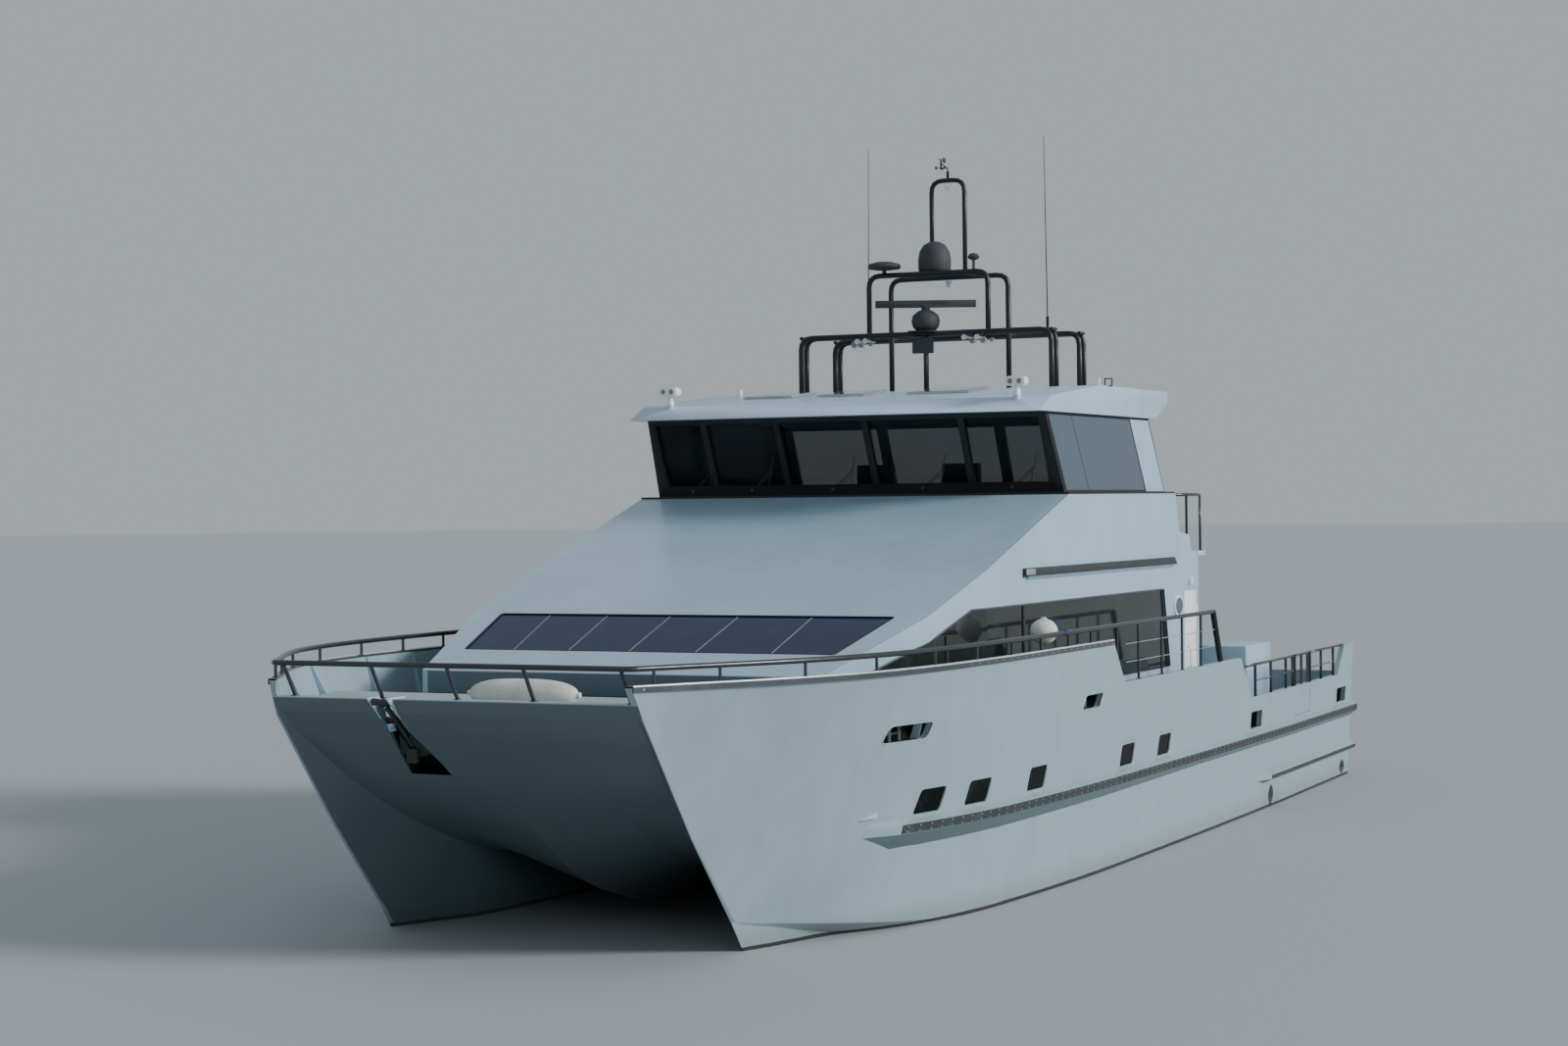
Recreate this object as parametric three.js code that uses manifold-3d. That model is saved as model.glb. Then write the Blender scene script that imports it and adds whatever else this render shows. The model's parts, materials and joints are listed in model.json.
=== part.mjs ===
// A power catamaran of about 22 m: millimetres, bow towards -Y, port side at +X, +Z up,
// with the origin on the centreline, amidships, at the waterline.
import * as THREE from 'three';
import { mergeVertices } from 'three/addons/utils/BufferGeometryUtils.js';
import Module from 'manifold-3d';

const wasm = await Module();
wasm.setup();

// Driving dimensions of the boat
const LENGTH = 21850;
const HALF_LENGTH = LENGTH / 2;
const GAP = 0.3;
const SEAT = 0.5;
const CAP_Z = 2880;
const DECK_EDGE_Z = 2700;
const FOREDECK_Z = 2500;
const SIDE_DECK_Z = 2000;
const MAIN_DECK_Z = 1200;
const BULWARK_T = 80;
const WALL_T = 70;
const CABIN_FRONT = 3450;
const CABIN_BACK = 15260;
const CABIN_HALF = 3100;
const PANEL_LOW_Z = 2760;
const PANEL_TOP_AT = 9740;
const PANEL_TOP_Z = 4700;
const UPPER_DECK_Z = 3860;
const UPPER_DECK_T = 80;
const UPPER_DECK_BACK = 15650;
const SPLIT_X = 1450;
const RAIL_Z = 3050;
const RAIL_R = 24;
const MAST_R = 38;
const ROOF_LOW_Z = 5755;
const ROOF_TOP_Z = 6150;
const KEEL_X = 2600;
const PROP_AT = 19950;
const PROP_Z = -980;
const PROP_R = 360;
const SHAFT_R = 40;
const SHAFT_RAKE = THREE.MathUtils.degToRad(6);
const RUDDER_AT = 20950;

// Stations are measured aft from the stem head
const fromBow = (at) => at - HALF_LENGTH;

// Paints and materials
const paint = (color, roughness, metalness = 0) =>
  new THREE.MeshStandardMaterial({ color, roughness, metalness });
const FINISH = {
  hullPaint: () => paint(0x94a9b0, 0.4),
  lightPaint: () => paint(0xb7c6cc, 0.4),
  darkMetal: () => paint(0x1c1e21, 0.35, 0.6),
  glass: () => paint(0x1c2738, 0.08),
  steel: () => paint(0xb9bcc0, 0.3, 1),
  bronze: () => paint(0xa9834f, 0.35, 1),
  whitePlastic: () => paint(0xe6e8e8, 0.45),
  blackPlastic: () => paint(0x16181a, 0.4),
  fabric: () => paint(0xe3e3df, 0.9),
  engine: () => paint(0x7c8286, 0.5, 0.3),
};

const boat = new THREE.Group();

// Booleans: geometries go in, one closed solid comes out
function toSolid(geometry) {
  let g = geometry.clone();
  g.deleteAttribute('normal');
  g.deleteAttribute('uv');
  g = mergeVertices(g, 0.001);
  const mesh = new wasm.Mesh({
    numProp: 3,
    vertProperties: new Float32Array(g.attributes.position.array),
    triVerts: new Uint32Array(g.index.array),
  });
  return new wasm.Manifold(mesh);
}

function toGeometry(solid) {
  const mesh = solid.getMesh();
  const g = new THREE.BufferGeometry();
  const step = mesh.numProp;
  const points = new Float32Array((mesh.vertProperties.length / step) * 3);
  for (let i = 0; i < points.length / 3; i += 1) {
    for (let k = 0; k < 3; k += 1) points[3 * i + k] = mesh.vertProperties[step * i + k];
  }
  g.setAttribute('position', new THREE.BufferAttribute(points, 3));
  g.setIndex(new THREE.BufferAttribute(new Uint32Array(mesh.triVerts), 1));
  g.computeVertexNormals();
  return g;
}

const join = (...solids) => solids.reduce((a, b) => a.add(b));
const cut = (body, ...tools) => tools.reduce((a, b) => a.subtract(b), body);

function addPiece(name, solid, finish) {
  const mesh = new THREE.Mesh(toGeometry(solid), finish());
  mesh.name = name;
  boat.add(mesh);
  return mesh;
}

// Plain solids, all in boat coordinates
function block(x0, x1, at0, at1, z0, z1) {
  const g = new THREE.BoxGeometry(x1 - x0, at1 - at0, z1 - z0);
  g.translate((x0 + x1) / 2, fromBow((at0 + at1) / 2), (z0 + z1) / 2);
  return toSolid(g);
}

function rod(a, b, radius, sides = 12, radiusEnd = radius) {
  const start = new THREE.Vector3(...a);
  const end = new THREE.Vector3(...b);
  const span = end.clone().sub(start);
  const g = new THREE.CylinderGeometry(radiusEnd, radius, span.length(), sides);
  const turn = new THREE.Quaternion().setFromUnitVectors(
    new THREE.Vector3(0, 1, 0), span.clone().normalize());
  g.applyQuaternion(turn);
  g.translate(...start.add(end).multiplyScalar(0.5).toArray());
  return toSolid(g);
}

// An outline drawn in by the same distance on every side
function insetOutline(points, by) {
  const count = points.length;
  const turn = Math.sign(THREE.ShapeUtils.area(points.map(([u, v]) => new THREE.Vector2(u, v))));
  const sideOf = (i) => {
    const [p, q] = [points[i % count], points[(i + 1) % count]];
    const size = Math.hypot(q[0] - p[0], q[1] - p[1]);
    const normal = [(-turn * (q[1] - p[1])) / size, (turn * (q[0] - p[0])) / size];
    return { normal, reach: normal[0] * p[0] + normal[1] * p[1] + by };
  };
  return points.map((_, i) => {
    const [a, b] = [sideOf(i + count - 1), sideOf(i)];
    const det = a.normal[0] * b.normal[1] - a.normal[1] * b.normal[0];
    return [(a.reach * b.normal[1] - b.reach * a.normal[1]) / det,
      (b.reach * a.normal[0] - a.reach * b.normal[0]) / det];
  });
}

// An outline of [at, z] points, extruded across the boat from x0 to x1
function sideProfile(points, x0, x1) {
  const shape = new THREE.Shape(points.map(([at, z]) => new THREE.Vector2(fromBow(at), z)));
  const g = new THREE.ExtrudeGeometry(shape, { depth: x1 - x0, bevelEnabled: false });
  g.applyMatrix4(new THREE.Matrix4().set(0, 0, 1, x0, 1, 0, 0, 0, 0, 1, 0, 0, 0, 0, 0, 1));
  return toSolid(g);
}

// An outline of [x, at] points, extruded upwards from z0 to z1
function planProfile(points, z0, z1) {
  const shape = new THREE.Shape(points.map(([x, at]) => new THREE.Vector2(x, fromBow(at))));
  const g = new THREE.ExtrudeGeometry(shape, { depth: z1 - z0, bevelEnabled: false });
  g.translate(0, 0, z0);
  return toSolid(g);
}

// A loft through rings of the same number of points, closed by flat ends
function loft(rings) {
  const count = rings[0].length;
  const faces = [];
  for (let r = 0; r + 1 < rings.length; r += 1) {
    for (let i = 0; i < count; i += 1) {
      const a = r * count + i;
      const b = r * count + ((i + 1) % count);
      faces.push(a, b, b + count, a, b + count, a + count);
    }
  }
  const last = (rings.length - 1) * count;
  for (const [i, j, k] of capFaces(rings[0])) faces.push(k, j, i);
  for (const [i, j, k] of capFaces(rings[rings.length - 1])) faces.push(last + i, last + j, last + k);
  const g = new THREE.BufferGeometry();
  g.setAttribute('position', new THREE.Float32BufferAttribute(rings.flat(2), 3));
  g.setIndex(faces);
  return toSolid(volumeOf(g) < 0 ? flipFaces(g) : g);
}

// Triangles over one ring, all turning the same way as the ring
function capFaces(ring) {
  const normal = [0, 0, 0];
  ring.forEach((p, i) => {
    const q = ring[(i + 1) % ring.length];
    for (let k = 0; k < 3; k += 1) {
      const [u, v] = [(k + 1) % 3, (k + 2) % 3];
      normal[k] += p[u] * q[v] - q[u] * p[v];
    }
  });
  const sizes = normal.map(Math.abs);
  const axis = sizes.indexOf(Math.max(...sizes));
  const flat = ring.map((p) => new THREE.Vector2(p[(axis + 1) % 3], p[(axis + 2) % 3]));
  const area = (ids) => THREE.ShapeUtils.area(ids.map((i) => flat[i]));
  const turn = Math.sign(THREE.ShapeUtils.area(flat));
  return THREE.ShapeUtils.triangulateShape(flat, []).map((t) =>
    (Math.sign(area(t)) === turn ? t : [t[2], t[1], t[0]]));
}

function volumeOf(g) {
  const p = g.attributes.position;
  const v = [0, 1, 2].map(() => new THREE.Vector3());
  let total = 0;
  for (let i = 0; i < g.index.count; i += 3) {
    v.forEach((w, k) => w.fromBufferAttribute(p, g.index.getX(i + k)));
    total += v[0].dot(v[1].clone().cross(v[2])) / 6;
  }
  return total;
}

function flipFaces(g) {
  const index = Array.from(g.index.array);
  for (let i = 0; i < index.length; i += 3) {
    [index[i], index[i + 1]] = [index[i + 1], index[i]];
  }
  g.setIndex(index);
  return g;
}

// A tube follows corner points, each corner after the first rounded to a bend radius
class BentPath extends THREE.Curve {
  constructor(points) {
    super();
    this.points = points;
  }

  getPoint(t, target = new THREE.Vector3()) {
    const place = Math.min(Math.max(t, 0), 1) * (this.points.length - 1);
    const i = Math.min(Math.floor(place), this.points.length - 2);
    return target.lerpVectors(this.points[i], this.points[i + 1], place - i);
  }

  getUtoTmapping(u) {
    return u;
  }
}

function bentPoints(corners, bend, steps = 4) {
  const v = corners.map((c) => new THREE.Vector3(...c));
  const out = [v[0]];
  for (let i = 1; i + 1 < v.length; i += 1) {
    const before = v[i - 1].clone().sub(v[i]);
    const after = v[i + 1].clone().sub(v[i]);
    const reach = Math.min(bend, before.length() * 0.45, after.length() * 0.45);
    const from = v[i].clone().add(before.setLength(reach));
    const to = v[i].clone().add(after.setLength(reach));
    const curve = new THREE.QuadraticBezierCurve3(from, v[i], to);
    out.push(...curve.getPoints(steps));
  }
  out.push(v[v.length - 1]);
  return out;
}

function tube(corners, radius, { bend = 0, sides = 10, steps = 4 } = {}) {
  const points = bend > 0
    ? bentPoints(corners, bend, steps)
    : corners.map((c) => new THREE.Vector3(...c));
  const shape = new THREE.Shape();
  shape.absarc(0, 0, radius, 0, 2 * Math.PI, false);
  const g = new THREE.ExtrudeGeometry(shape, {
    steps: points.length - 1,
    curveSegments: sides / 2,
    extrudePath: new BentPath(points),
    bevelEnabled: false,
  });
  return toSolid(g);
}

const mirrored = (solid) => solid.mirror([1, 0, 0]);

// Hull sections, port half. at: station; sheer: half-breadth at the cap; chineX, chineZ: outer
// chine; keelX, keelZ: keel of the demihull; innerX, innerZ: inner bilge; roofX, roofZ: where
// the inner side meets the tunnel roof; crestX, crestZ: edge of the nacelle; noseZ: its keel
const HULL = [
  { at: 0, sheer: 2135, chineX: 2133, chineZ: 2860, keelX: 2128, keelZ: 2854,
    innerX: 2122, innerZ: 2856, roofX: 2080, roofZ: 2858, crestX: 1100, crestZ: 2858, noseZ: 2857 },
  { at: 170, sheer: 2235, chineX: 2176, chineZ: 2504, keelX: 2170, keelZ: 2500,
    innerX: 2166, innerZ: 2503, roofX: 2100, roofZ: 2540, crestX: 1120, crestZ: 2548, noseZ: 2550 },
  { at: 760, sheer: 2590, chineX: 2178, chineZ: 1750, keelX: 2168, keelZ: 1740,
    innerX: 2160, innerZ: 1748, roofX: 1990, roofZ: 2030, crestX: 1150, crestZ: 2034, noseZ: 2030 },
  { at: 1110, sheer: 2815, chineX: 2180, chineZ: 1302, keelX: 2168, keelZ: 1290,
    innerX: 2160, innerZ: 1300, roofX: 1900, roofZ: 1745, crestX: 1150, crestZ: 1750, noseZ: 1680 },
  { at: 1970, sheer: 3265, chineX: 2200, chineZ: 345, keelX: 2170, keelZ: 320,
    innerX: 2158, innerZ: 332, roofX: 1680, roofZ: 1225, crestX: 1130, crestZ: 1215, noseZ: 1010 },
  { at: 2600, sheer: 3480, chineX: 2440, chineZ: 250, keelX: 2190, keelZ: -450,
    innerX: 1990, innerZ: 0, roofX: 1560, roofZ: 960, crestX: 1090, crestZ: 930, noseZ: 620 },
  { at: 3300, sheer: 3640, chineX: 2800, chineZ: 170, keelX: 2230, keelZ: -820,
    innerX: 1700, innerZ: -40, roofX: 1480, roofZ: 770, crestX: 1040, crestZ: 740, noseZ: 345 },
  { at: 4400, sheer: 3770, chineX: 3180, chineZ: 60, keelX: 2350, keelZ: -1030,
    innerX: 1590, innerZ: -120, roofX: 1430, roofZ: 680, crestX: 980, crestZ: 650, noseZ: 110 },
  { at: 6000, sheer: 3850, chineX: 3490, chineZ: -40, keelX: 2480, keelZ: -1120,
    innerX: 1490, innerZ: -180, roofX: 1400, roofZ: 640, crestX: 930, crestZ: 620, noseZ: 60 },
  { at: 9500, sheer: 3870, chineX: 3690, chineZ: -120, keelX: 2590, keelZ: -1150,
    innerX: 1430, innerZ: -200, roofX: 1400, roofZ: 640, crestX: 900, crestZ: 620, noseZ: 60 },
  { at: 14000, sheer: 3870, chineX: 3720, chineZ: -150, keelX: KEEL_X, keelZ: -1120,
    innerX: 1430, innerZ: -200, roofX: 1400, roofZ: 640, crestX: 900, crestZ: 620, noseZ: 330 },
  { at: 17000, sheer: 3860, chineX: 3710, chineZ: -160, keelX: KEEL_X, keelZ: -960,
    innerX: 1440, innerZ: -200, roofX: 1400, roofZ: 640, crestX: 900, crestZ: 620, noseZ: 480 },
  { at: 19200, sheer: 3830, chineX: 3670, chineZ: -170, keelX: KEEL_X, keelZ: -590,
    innerX: 1460, innerZ: -190, roofX: 1400, roofZ: 640, crestX: 900, crestZ: 622, noseZ: 560 },
  { at: LENGTH, sheer: 3780, chineX: 3620, chineZ: -180, keelX: KEEL_X, keelZ: -430,
    innerX: 1480, innerZ: -190, roofX: 1400, roofZ: 640, crestX: 900, crestZ: 624, noseZ: 600 },
];
const KEEL_FLAT = 4;
const HULL_TOP_Z = CAP_Z;

function hullRing(s, inset = 0, lift = 0) {
  const y = fromBow(s.at);
  const half = [
    [s.sheer - inset, y, HULL_TOP_Z + lift],
    [s.chineX - inset, y, s.chineZ],
    [s.keelX + KEEL_FLAT, y, s.keelZ],
    [s.keelX - KEEL_FLAT, y, s.keelZ],
    [s.innerX, y, s.innerZ],
    [s.roofX, y, s.roofZ],
    [s.crestX, y, s.crestZ],
  ];
  const other = half.map(([x, , z]) => [-x, y, z]).reverse();
  return [...half, [0, y, s.noseZ], ...other];
}

const hullOuter = loft(HULL.map((s) => hullRing(s)));

// The space inside the bulwarks: the same sections, drawn in by the plate and its frames
function insideRing(s, at = s.at) {
  const y = fromBow(at);
  const x = (z) => {
    const t = (z - s.chineZ) / (HULL_TOP_Z - s.chineZ);
    return s.chineX + (s.sheer - s.chineX) * t - BULWARK_T;
  };
  const low = Math.max(MAIN_DECK_Z - 400, s.chineZ + 10);
  return [
    [x(HULL_TOP_Z + 200), y, HULL_TOP_Z + 200],
    [x(low), y, low],
    [-x(low), y, low],
    [-x(HULL_TOP_Z + 200), y, HULL_TOP_Z + 200],
  ];
}
const insideSpace = loft([
  insideRing(HULL[0], -200),
  ...HULL.slice(0, -1).map((s) => insideRing(s)),
  insideRing(HULL[HULL.length - 1]),
  insideRing(HULL[HULL.length - 1], LENGTH + 300),
]);

const WIDE = 6000;
const FOREDECK_BACK = 2800;
const FRONT_EDGE = 300;

// Everything above the decks that is open air inside the bulwarks
const foredeckWell = block(-WIDE, WIDE, FRONT_EDGE, CABIN_FRONT, FOREDECK_Z, CAP_Z + 500);
const frontEdgeWell = block(-WIDE, WIDE, -500, FRONT_EDGE + 1, DECK_EDGE_Z, CAP_Z + 500);
const sideWell = block(-WIDE, WIDE, FOREDECK_BACK, LENGTH + 500, SIDE_DECK_Z, CAP_Z + 500);
const mainWell = block(-WIDE, WIDE, CABIN_FRONT, LENGTH + 500, MAIN_DECK_Z, CAP_Z + 500);

// Side decks: a ledge outboard of the cabin, with steps down to the main deck at its after end
const SIDE_STEPS = [
  { at: 13500, z: 2000 },
  { at: 13800, z: 1733 },
  { at: 14100, z: 1467 },
  { at: 14400, z: 1200 },
];
const cabinPlan = [
  { at: CABIN_FRONT, half: 2540 },
  { at: 4240, half: 2730 },
  { at: 5310, half: 3000 },
  { at: 6900, half: CABIN_HALF },
  { at: CABIN_BACK, half: CABIN_HALF },
];
function cabinOutline(inset, extra = 0) {
  const port = cabinPlan.map(({ at, half }, i) => {
    const last = i === cabinPlan.length - 1;
    return [half - inset, at + (last ? extra : 0)];
  });
  return [...port, ...port.map(([x, at]) => [-x, at]).reverse()];
}
const cabinBlock = (inset, z0, z1, extra = 0) => planProfile(cabinOutline(inset, extra), z0, z1);

const sideLedge = () => {
  const steps = [[CABIN_FRONT, MAIN_DECK_Z + GAP], [CABIN_FRONT, SIDE_STEPS[0].z]];
  SIDE_STEPS.slice(0, -1).forEach((step, i) => {
    steps.push([step.at, step.z], [step.at, SIDE_STEPS[i + 1].z]);
  });
  steps[steps.length - 1][1] = MAIN_DECK_Z + GAP;
  return sideProfile(steps, 1000, WIDE);
};

// Hull bodies, parted at the inner sides of the demihulls
const hullBody = cut(hullOuter,
  foredeckWell, frontEdgeWell, sideWell, mainWell);

// Engine rooms under hatches in the after deck
const BAY = { x0: 2150, x1: 3250, at0: 15950, at1: 17700, z0: -230 };
const engineBay = block(BAY.x0, BAY.x1, BAY.at0, BAY.at1, BAY.z0, MAIN_DECK_Z + 100);

// Pads under the hull where the rudder stocks come out
const RUDDER_PAD_Z = -560;
const rudderPad = rod([KEEL_X, fromBow(RUDDER_AT), -200], [KEEL_X, fromBow(RUDDER_AT), RUDDER_PAD_Z], 90, 20);

// The anchor pocket in the raked bow, to starboard of the middle
const POCKET_X = -800;
const pocket = loft([
  [[POCKET_X - 70, fromBow(-60), 3200], [POCKET_X + 70, fromBow(-60), 3200],
    [POCKET_X + 70, fromBow(260), 3200], [POCKET_X - 70, fromBow(260), 3200]],
  [[POCKET_X - 110, fromBow(-60), 2400], [POCKET_X + 110, fromBow(-60), 2400],
    [POCKET_X + 110, fromBow(560), 2400], [POCKET_X - 110, fromBow(560), 2400]],
  [[POCKET_X - 260, fromBow(300), 1850], [POCKET_X + 260, fromBow(300), 1850],
    [POCKET_X + 260, fromBow(1250), 1850], [POCKET_X - 260, fromBow(1250), 1850]],
]);

const outboard = (x0) => block(x0, WIDE, -1000, LENGTH + 1000, -3000, 5000);
const demihull = cut(join(hullBody.intersect(outboard(SPLIT_X)), rudderPad), engineBay);
const middle = block(-SPLIT_X + GAP, SPLIT_X - GAP, -1000, LENGTH + 1000, -3000, 5000);
const bridge = cut(hullBody.intersect(middle), pocket);
addPiece('hull_port', demihull, FINISH.hullPaint);
addPiece('hull_starboard', mirrored(demihull), FINISH.hullPaint);
addPiece('bridge_deck', bridge, FINISH.hullPaint);

// Bulwarks: the hull's plating carried up past the decks to the cap, with the side decks.
// Outline of what stays, as [station, z]: full height forward, the gate sill, the low run, the quarter
const BULWARK_TOP = [
  [-100, 3000], [9170, 3000], [9170, 2870], [9680, 2330], [14870, 2330],
  [15520, 1720], [20780, 1720], [21210, 2200], [LENGTH + 100, 2200],
];
const bulwarkKeep = sideProfile(
  [...BULWARK_TOP, [LENGTH + 100, MAIN_DECK_Z + GAP], [CABIN_FRONT, MAIN_DECK_Z + GAP],
    [CABIN_FRONT, SIDE_DECK_Z + GAP], [FOREDECK_BACK, SIDE_DECK_Z + GAP],
    [FOREDECK_BACK, FOREDECK_Z + GAP], [FRONT_EDGE, FOREDECK_Z + GAP],
    [FRONT_EDGE, DECK_EDGE_Z + GAP], [-100, DECK_EDGE_Z + GAP]],
  GAP, WIDE);

// Openings through the bulwark: fairleads forward, freeing ports aft, leaning aft at the top
const PORTS = [
  { at0: 3170, at1: 3990, z0: 2090, z1: 2280, lean: 40, r: 80 },
  { at0: 8200, at1: 8840, z0: 2080, z1: 2260, lean: 50, r: 70 },
  { at0: 15490, at1: 16100, z0: 1250, z1: 1510, lean: 10, r: 25 },
  { at0: 20770, at1: 21420, z0: 1250, z1: 1500, lean: 10, r: 25 },
];
function softCorners(corners, r, steps = 3) {
  return corners.flatMap((c, i) => {
    const [before, after] = [corners.at(i - 1), corners[(i + 1) % corners.length]];
    const toward = (p) => {
      const d = Math.hypot(p[0] - c[0], p[1] - c[1]);
      return [c[0] + (p[0] - c[0]) * r / d, c[1] + (p[1] - c[1]) * r / d];
    };
    const [from, to] = [toward(before), toward(after)];
    return Array.from({ length: steps + 1 }, (_, k) => {
      const s = k / steps;
      return [0, 1].map((j) => from[j] * (1 - s) ** 2 + c[j] * 2 * s * (1 - s) + to[j] * s ** 2);
    });
  });
}
function slot({ at0, at1, z0, z1, lean, r }) {
  const corners = [[at0 - lean, z0], [at0 + lean, z1], [at1 + lean, z1], [at1 - lean, z0]];
  return sideProfile(softCorners(corners, r), 2600, WIDE);
}
const sidePorts = join(...PORTS.map(slot));

// The boarding gate stands in the low run of the port bulwark
const GATE = { at0: 18000, at1: 18950, z0: 1260 };
const gateSpace = block(3000, WIDE, GATE.at0, GATE.at1, GATE.z0, 3000);
const ledgePort = cut(sideLedge(), cabinBlock(-GAP, 0, 5000, 1000));
const transomPlate = block(-100, WIDE, LENGTH - BULWARK_T, LENGTH + 500, 0, 1720);
const shell = cut(hullOuter.intersect(bulwarkKeep), insideSpace);
const openAir = cut(insideSpace, ledgePort, transomPlate);
const bulwark = cut(hullOuter.intersect(bulwarkKeep), openAir, sidePorts);
const GATE_HINGE = { x: 3660, at: GATE.at0 + 2, heights: [1350, 1600], size: 60 };
const hingeLug = (z) => {
  const low = z + GATE_HINGE.size + SEAT;
  const y = fromBow(GATE_HINGE.at);
  return join(block(GATE_HINGE.x - 12, 3735, GATE.at0 - 25, GATE.at0 - 1, low, low + 18),
    rod([GATE_HINGE.x, y, low], [GATE_HINGE.x, y, low + 18], 12, 12));
};
addPiece('bulwark_port', join(cut(bulwark, gateSpace), ...GATE_HINGE.heights.map(hingeLug)),
  FINISH.hullPaint);
addPiece('bulwark_starboard', mirrored(bulwark), FINISH.hullPaint);

// The boarding gate, hinged at its forward edge, opening inboard
const gateLeaf = shell.intersect(block(3000, WIDE, GATE.at0 + 6, GATE.at1 - 14, GATE.z0 + 6, 1720));
const gateKnuckle = (z) => {
  const y = fromBow(GATE_HINGE.at);
  return join(rod([GATE_HINGE.x, y, z], [GATE_HINGE.x, y, z + GATE_HINGE.size], 12, 12),
    block(GATE_HINGE.x - 4, 3740, GATE.at0 + 6, GATE.at0 + 16, z, z + GATE_HINGE.size));
};
const boardingGate = join(gateLeaf, ...GATE_HINGE.heights.map(gateKnuckle));

// Half-breadth of the hull at a station and height, for what is set against its side
function sideX(at, z) {
  const i = Math.min(HULL.findIndex((s) => s.at >= at) || 1, HULL.length - 1);
  const [a, b] = [HULL[Math.max(i - 1, 0)], HULL[Math.max(i, 1)]];
  const t = (at - a.at) / (b.at - a.at);
  const mix = (key) => a[key] + (b[key] - a[key]) * t;
  const rise = (z - mix('chineZ')) / (HULL_TOP_Z - mix('chineZ'));
  return mix('chineX') + (mix('sheer') - mix('chineX')) * rise;
}

// Rub rails: a bevelled bar along each side
const RUB = { low: 905, faceLow: 1035, faceTop: 1165, top: 1250, proud: 100 };
const RUB_STATIONS = [3200, 3800, 4400, 6000, 9500, 14000, 17000, 19200, LENGTH];
function rubRing(at, i) {
  const y = fromBow(at);
  const proud = i === 0 ? 12 : RUB.proud;
  const x = (z) => sideX(Math.min(at, LENGTH), z);
  return [
    [x(RUB.low) - 60, y, RUB.low], [x(RUB.faceLow) + proud, y, RUB.faceLow],
    [x(RUB.faceTop) + proud, y, RUB.faceTop], [x(RUB.top) - 60, y, RUB.top],
  ];
}
const rubRail = cut(loft(RUB_STATIONS.map(rubRing)), hullOuter.translate([GAP, 0, 0]));
addPiece('rub_rail_port', rubRail, FINISH.hullPaint);
addPiece('rub_rail_starboard', mirrored(rubRail), FINISH.hullPaint);

// Cabin: the outer body, cut under the sloping front panel
const slope = (PANEL_TOP_Z - PANEL_LOW_Z) / (PANEL_TOP_AT - CABIN_FRONT);
const CABIN_SIDE = [
  [CABIN_FRONT, FOREDECK_Z + GAP], [CABIN_FRONT, PANEL_LOW_Z], [PANEL_TOP_AT, PANEL_TOP_Z],
  [14200, PANEL_TOP_Z], [14380, 4150], [14850, 4100], [14950, UPPER_DECK_Z + 10],
  [15200, UPPER_DECK_Z], [CABIN_BACK, 3700], [CABIN_BACK, MAIN_DECK_Z + GAP],
  [CABIN_FRONT + WALL_T + 10, MAIN_DECK_Z + GAP], [CABIN_FRONT + WALL_T + 10, FOREDECK_Z + GAP],
];
const cabinSolid = sideProfile(CABIN_SIDE, -WIDE, WIDE).intersect(cabinBlock(0, 0, 6000));
const sideWalls = cut(cabinSolid, cabinBlock(WALL_T, 0, 6000, 1000));

// Salon windows and side doors, as [station, z] outlines
const SALON_WINDOW = [
  [4250, 2760], [5480, 3090], [6430, 3360], [13600, 3360], [13850, 2270], [4600, 2270],
];
const DOOR = { at0: 14560, at1: 15140, z0: 1290, z1: 3310 };
const windowHole = sideProfile(SALON_WINDOW, 2000, WIDE);
const doorHole = block(2000, WIDE, DOOR.at0, DOOR.at1, DOOR.z0, DOOR.z1);
const sideWallPort = cut(
  sideWalls.intersect(block(1000, WIDE, -1000, LENGTH, 0, 6000)), windowHole, doorHole);
addPiece('cabin_side_port', sideWallPort, FINISH.hullPaint);
addPiece('cabin_side_starboard', mirrored(sideWallPort), FINISH.hullPaint);

// Side windows fill their holes flush inside the wall's faces
const sidePane = cut(
  sideProfile(SALON_WINDOW, 2000, WIDE).intersect(cabinBlock(20, 0, 6000)),
  cabinBlock(45, 0, 6000));
const paneShape = sideProfile(insetOutline(SALON_WINDOW, 2 * GAP), 2000, WIDE);
const salonPane = sidePane.intersect(paneShape);
addPiece('cabin_window_port', salonPane, FINISH.glass);
addPiece('cabin_window_starboard', mirrored(salonPane), FINISH.glass);

// Sloping front panel with the window band across it
const underPanel = sideProfile([
  [CABIN_FRONT + WALL_T, MAIN_DECK_Z], [CABIN_FRONT + WALL_T, PANEL_LOW_Z - WALL_T + 20],
  [PANEL_TOP_AT + 200, PANEL_TOP_Z - WALL_T + 60 * slope], [PANEL_TOP_AT + 200, MAIN_DECK_Z],
], -WIDE, WIDE);
const frontRegion = block(-WIDE, WIDE, CABIN_FRONT - 100, PANEL_TOP_AT, FOREDECK_Z + GAP, 6000);
const frontShell = cut(
  cabinSolid.intersect(cabinBlock(WALL_T + GAP, 0, 6000)).intersect(frontRegion), underPanel);
const BAND = [[2380, 4110], [2600, 5290]];
const bandOutline = (inset) => [
  [BAND[0][0] - inset, BAND[0][1] + inset], [BAND[1][0] - inset, BAND[1][1] - inset],
  [-BAND[1][0] + inset, BAND[1][1] - inset], [-BAND[0][0] + inset, BAND[0][1] + inset],
];
addPiece('cabin_front', cut(frontShell, planProfile(bandOutline(0), 2400, 5000)), FINISH.hullPaint);
const panelAt = (at, z) => z + slope * (at - CABIN_FRONT);
const bandSlab = sideProfile([
  [4000, panelAt(4000, PANEL_LOW_Z - 12)], [5400, panelAt(5400, PANEL_LOW_Z - 12)],
  [5400, panelAt(5400, PANEL_LOW_Z - 40)], [4000, panelAt(4000, PANEL_LOW_Z - 40)],
], -WIDE, WIDE);
addPiece('cabin_front_window',
  bandSlab.intersect(planProfile(bandOutline(GAP), 2400, 5000)), FINISH.glass);

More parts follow.
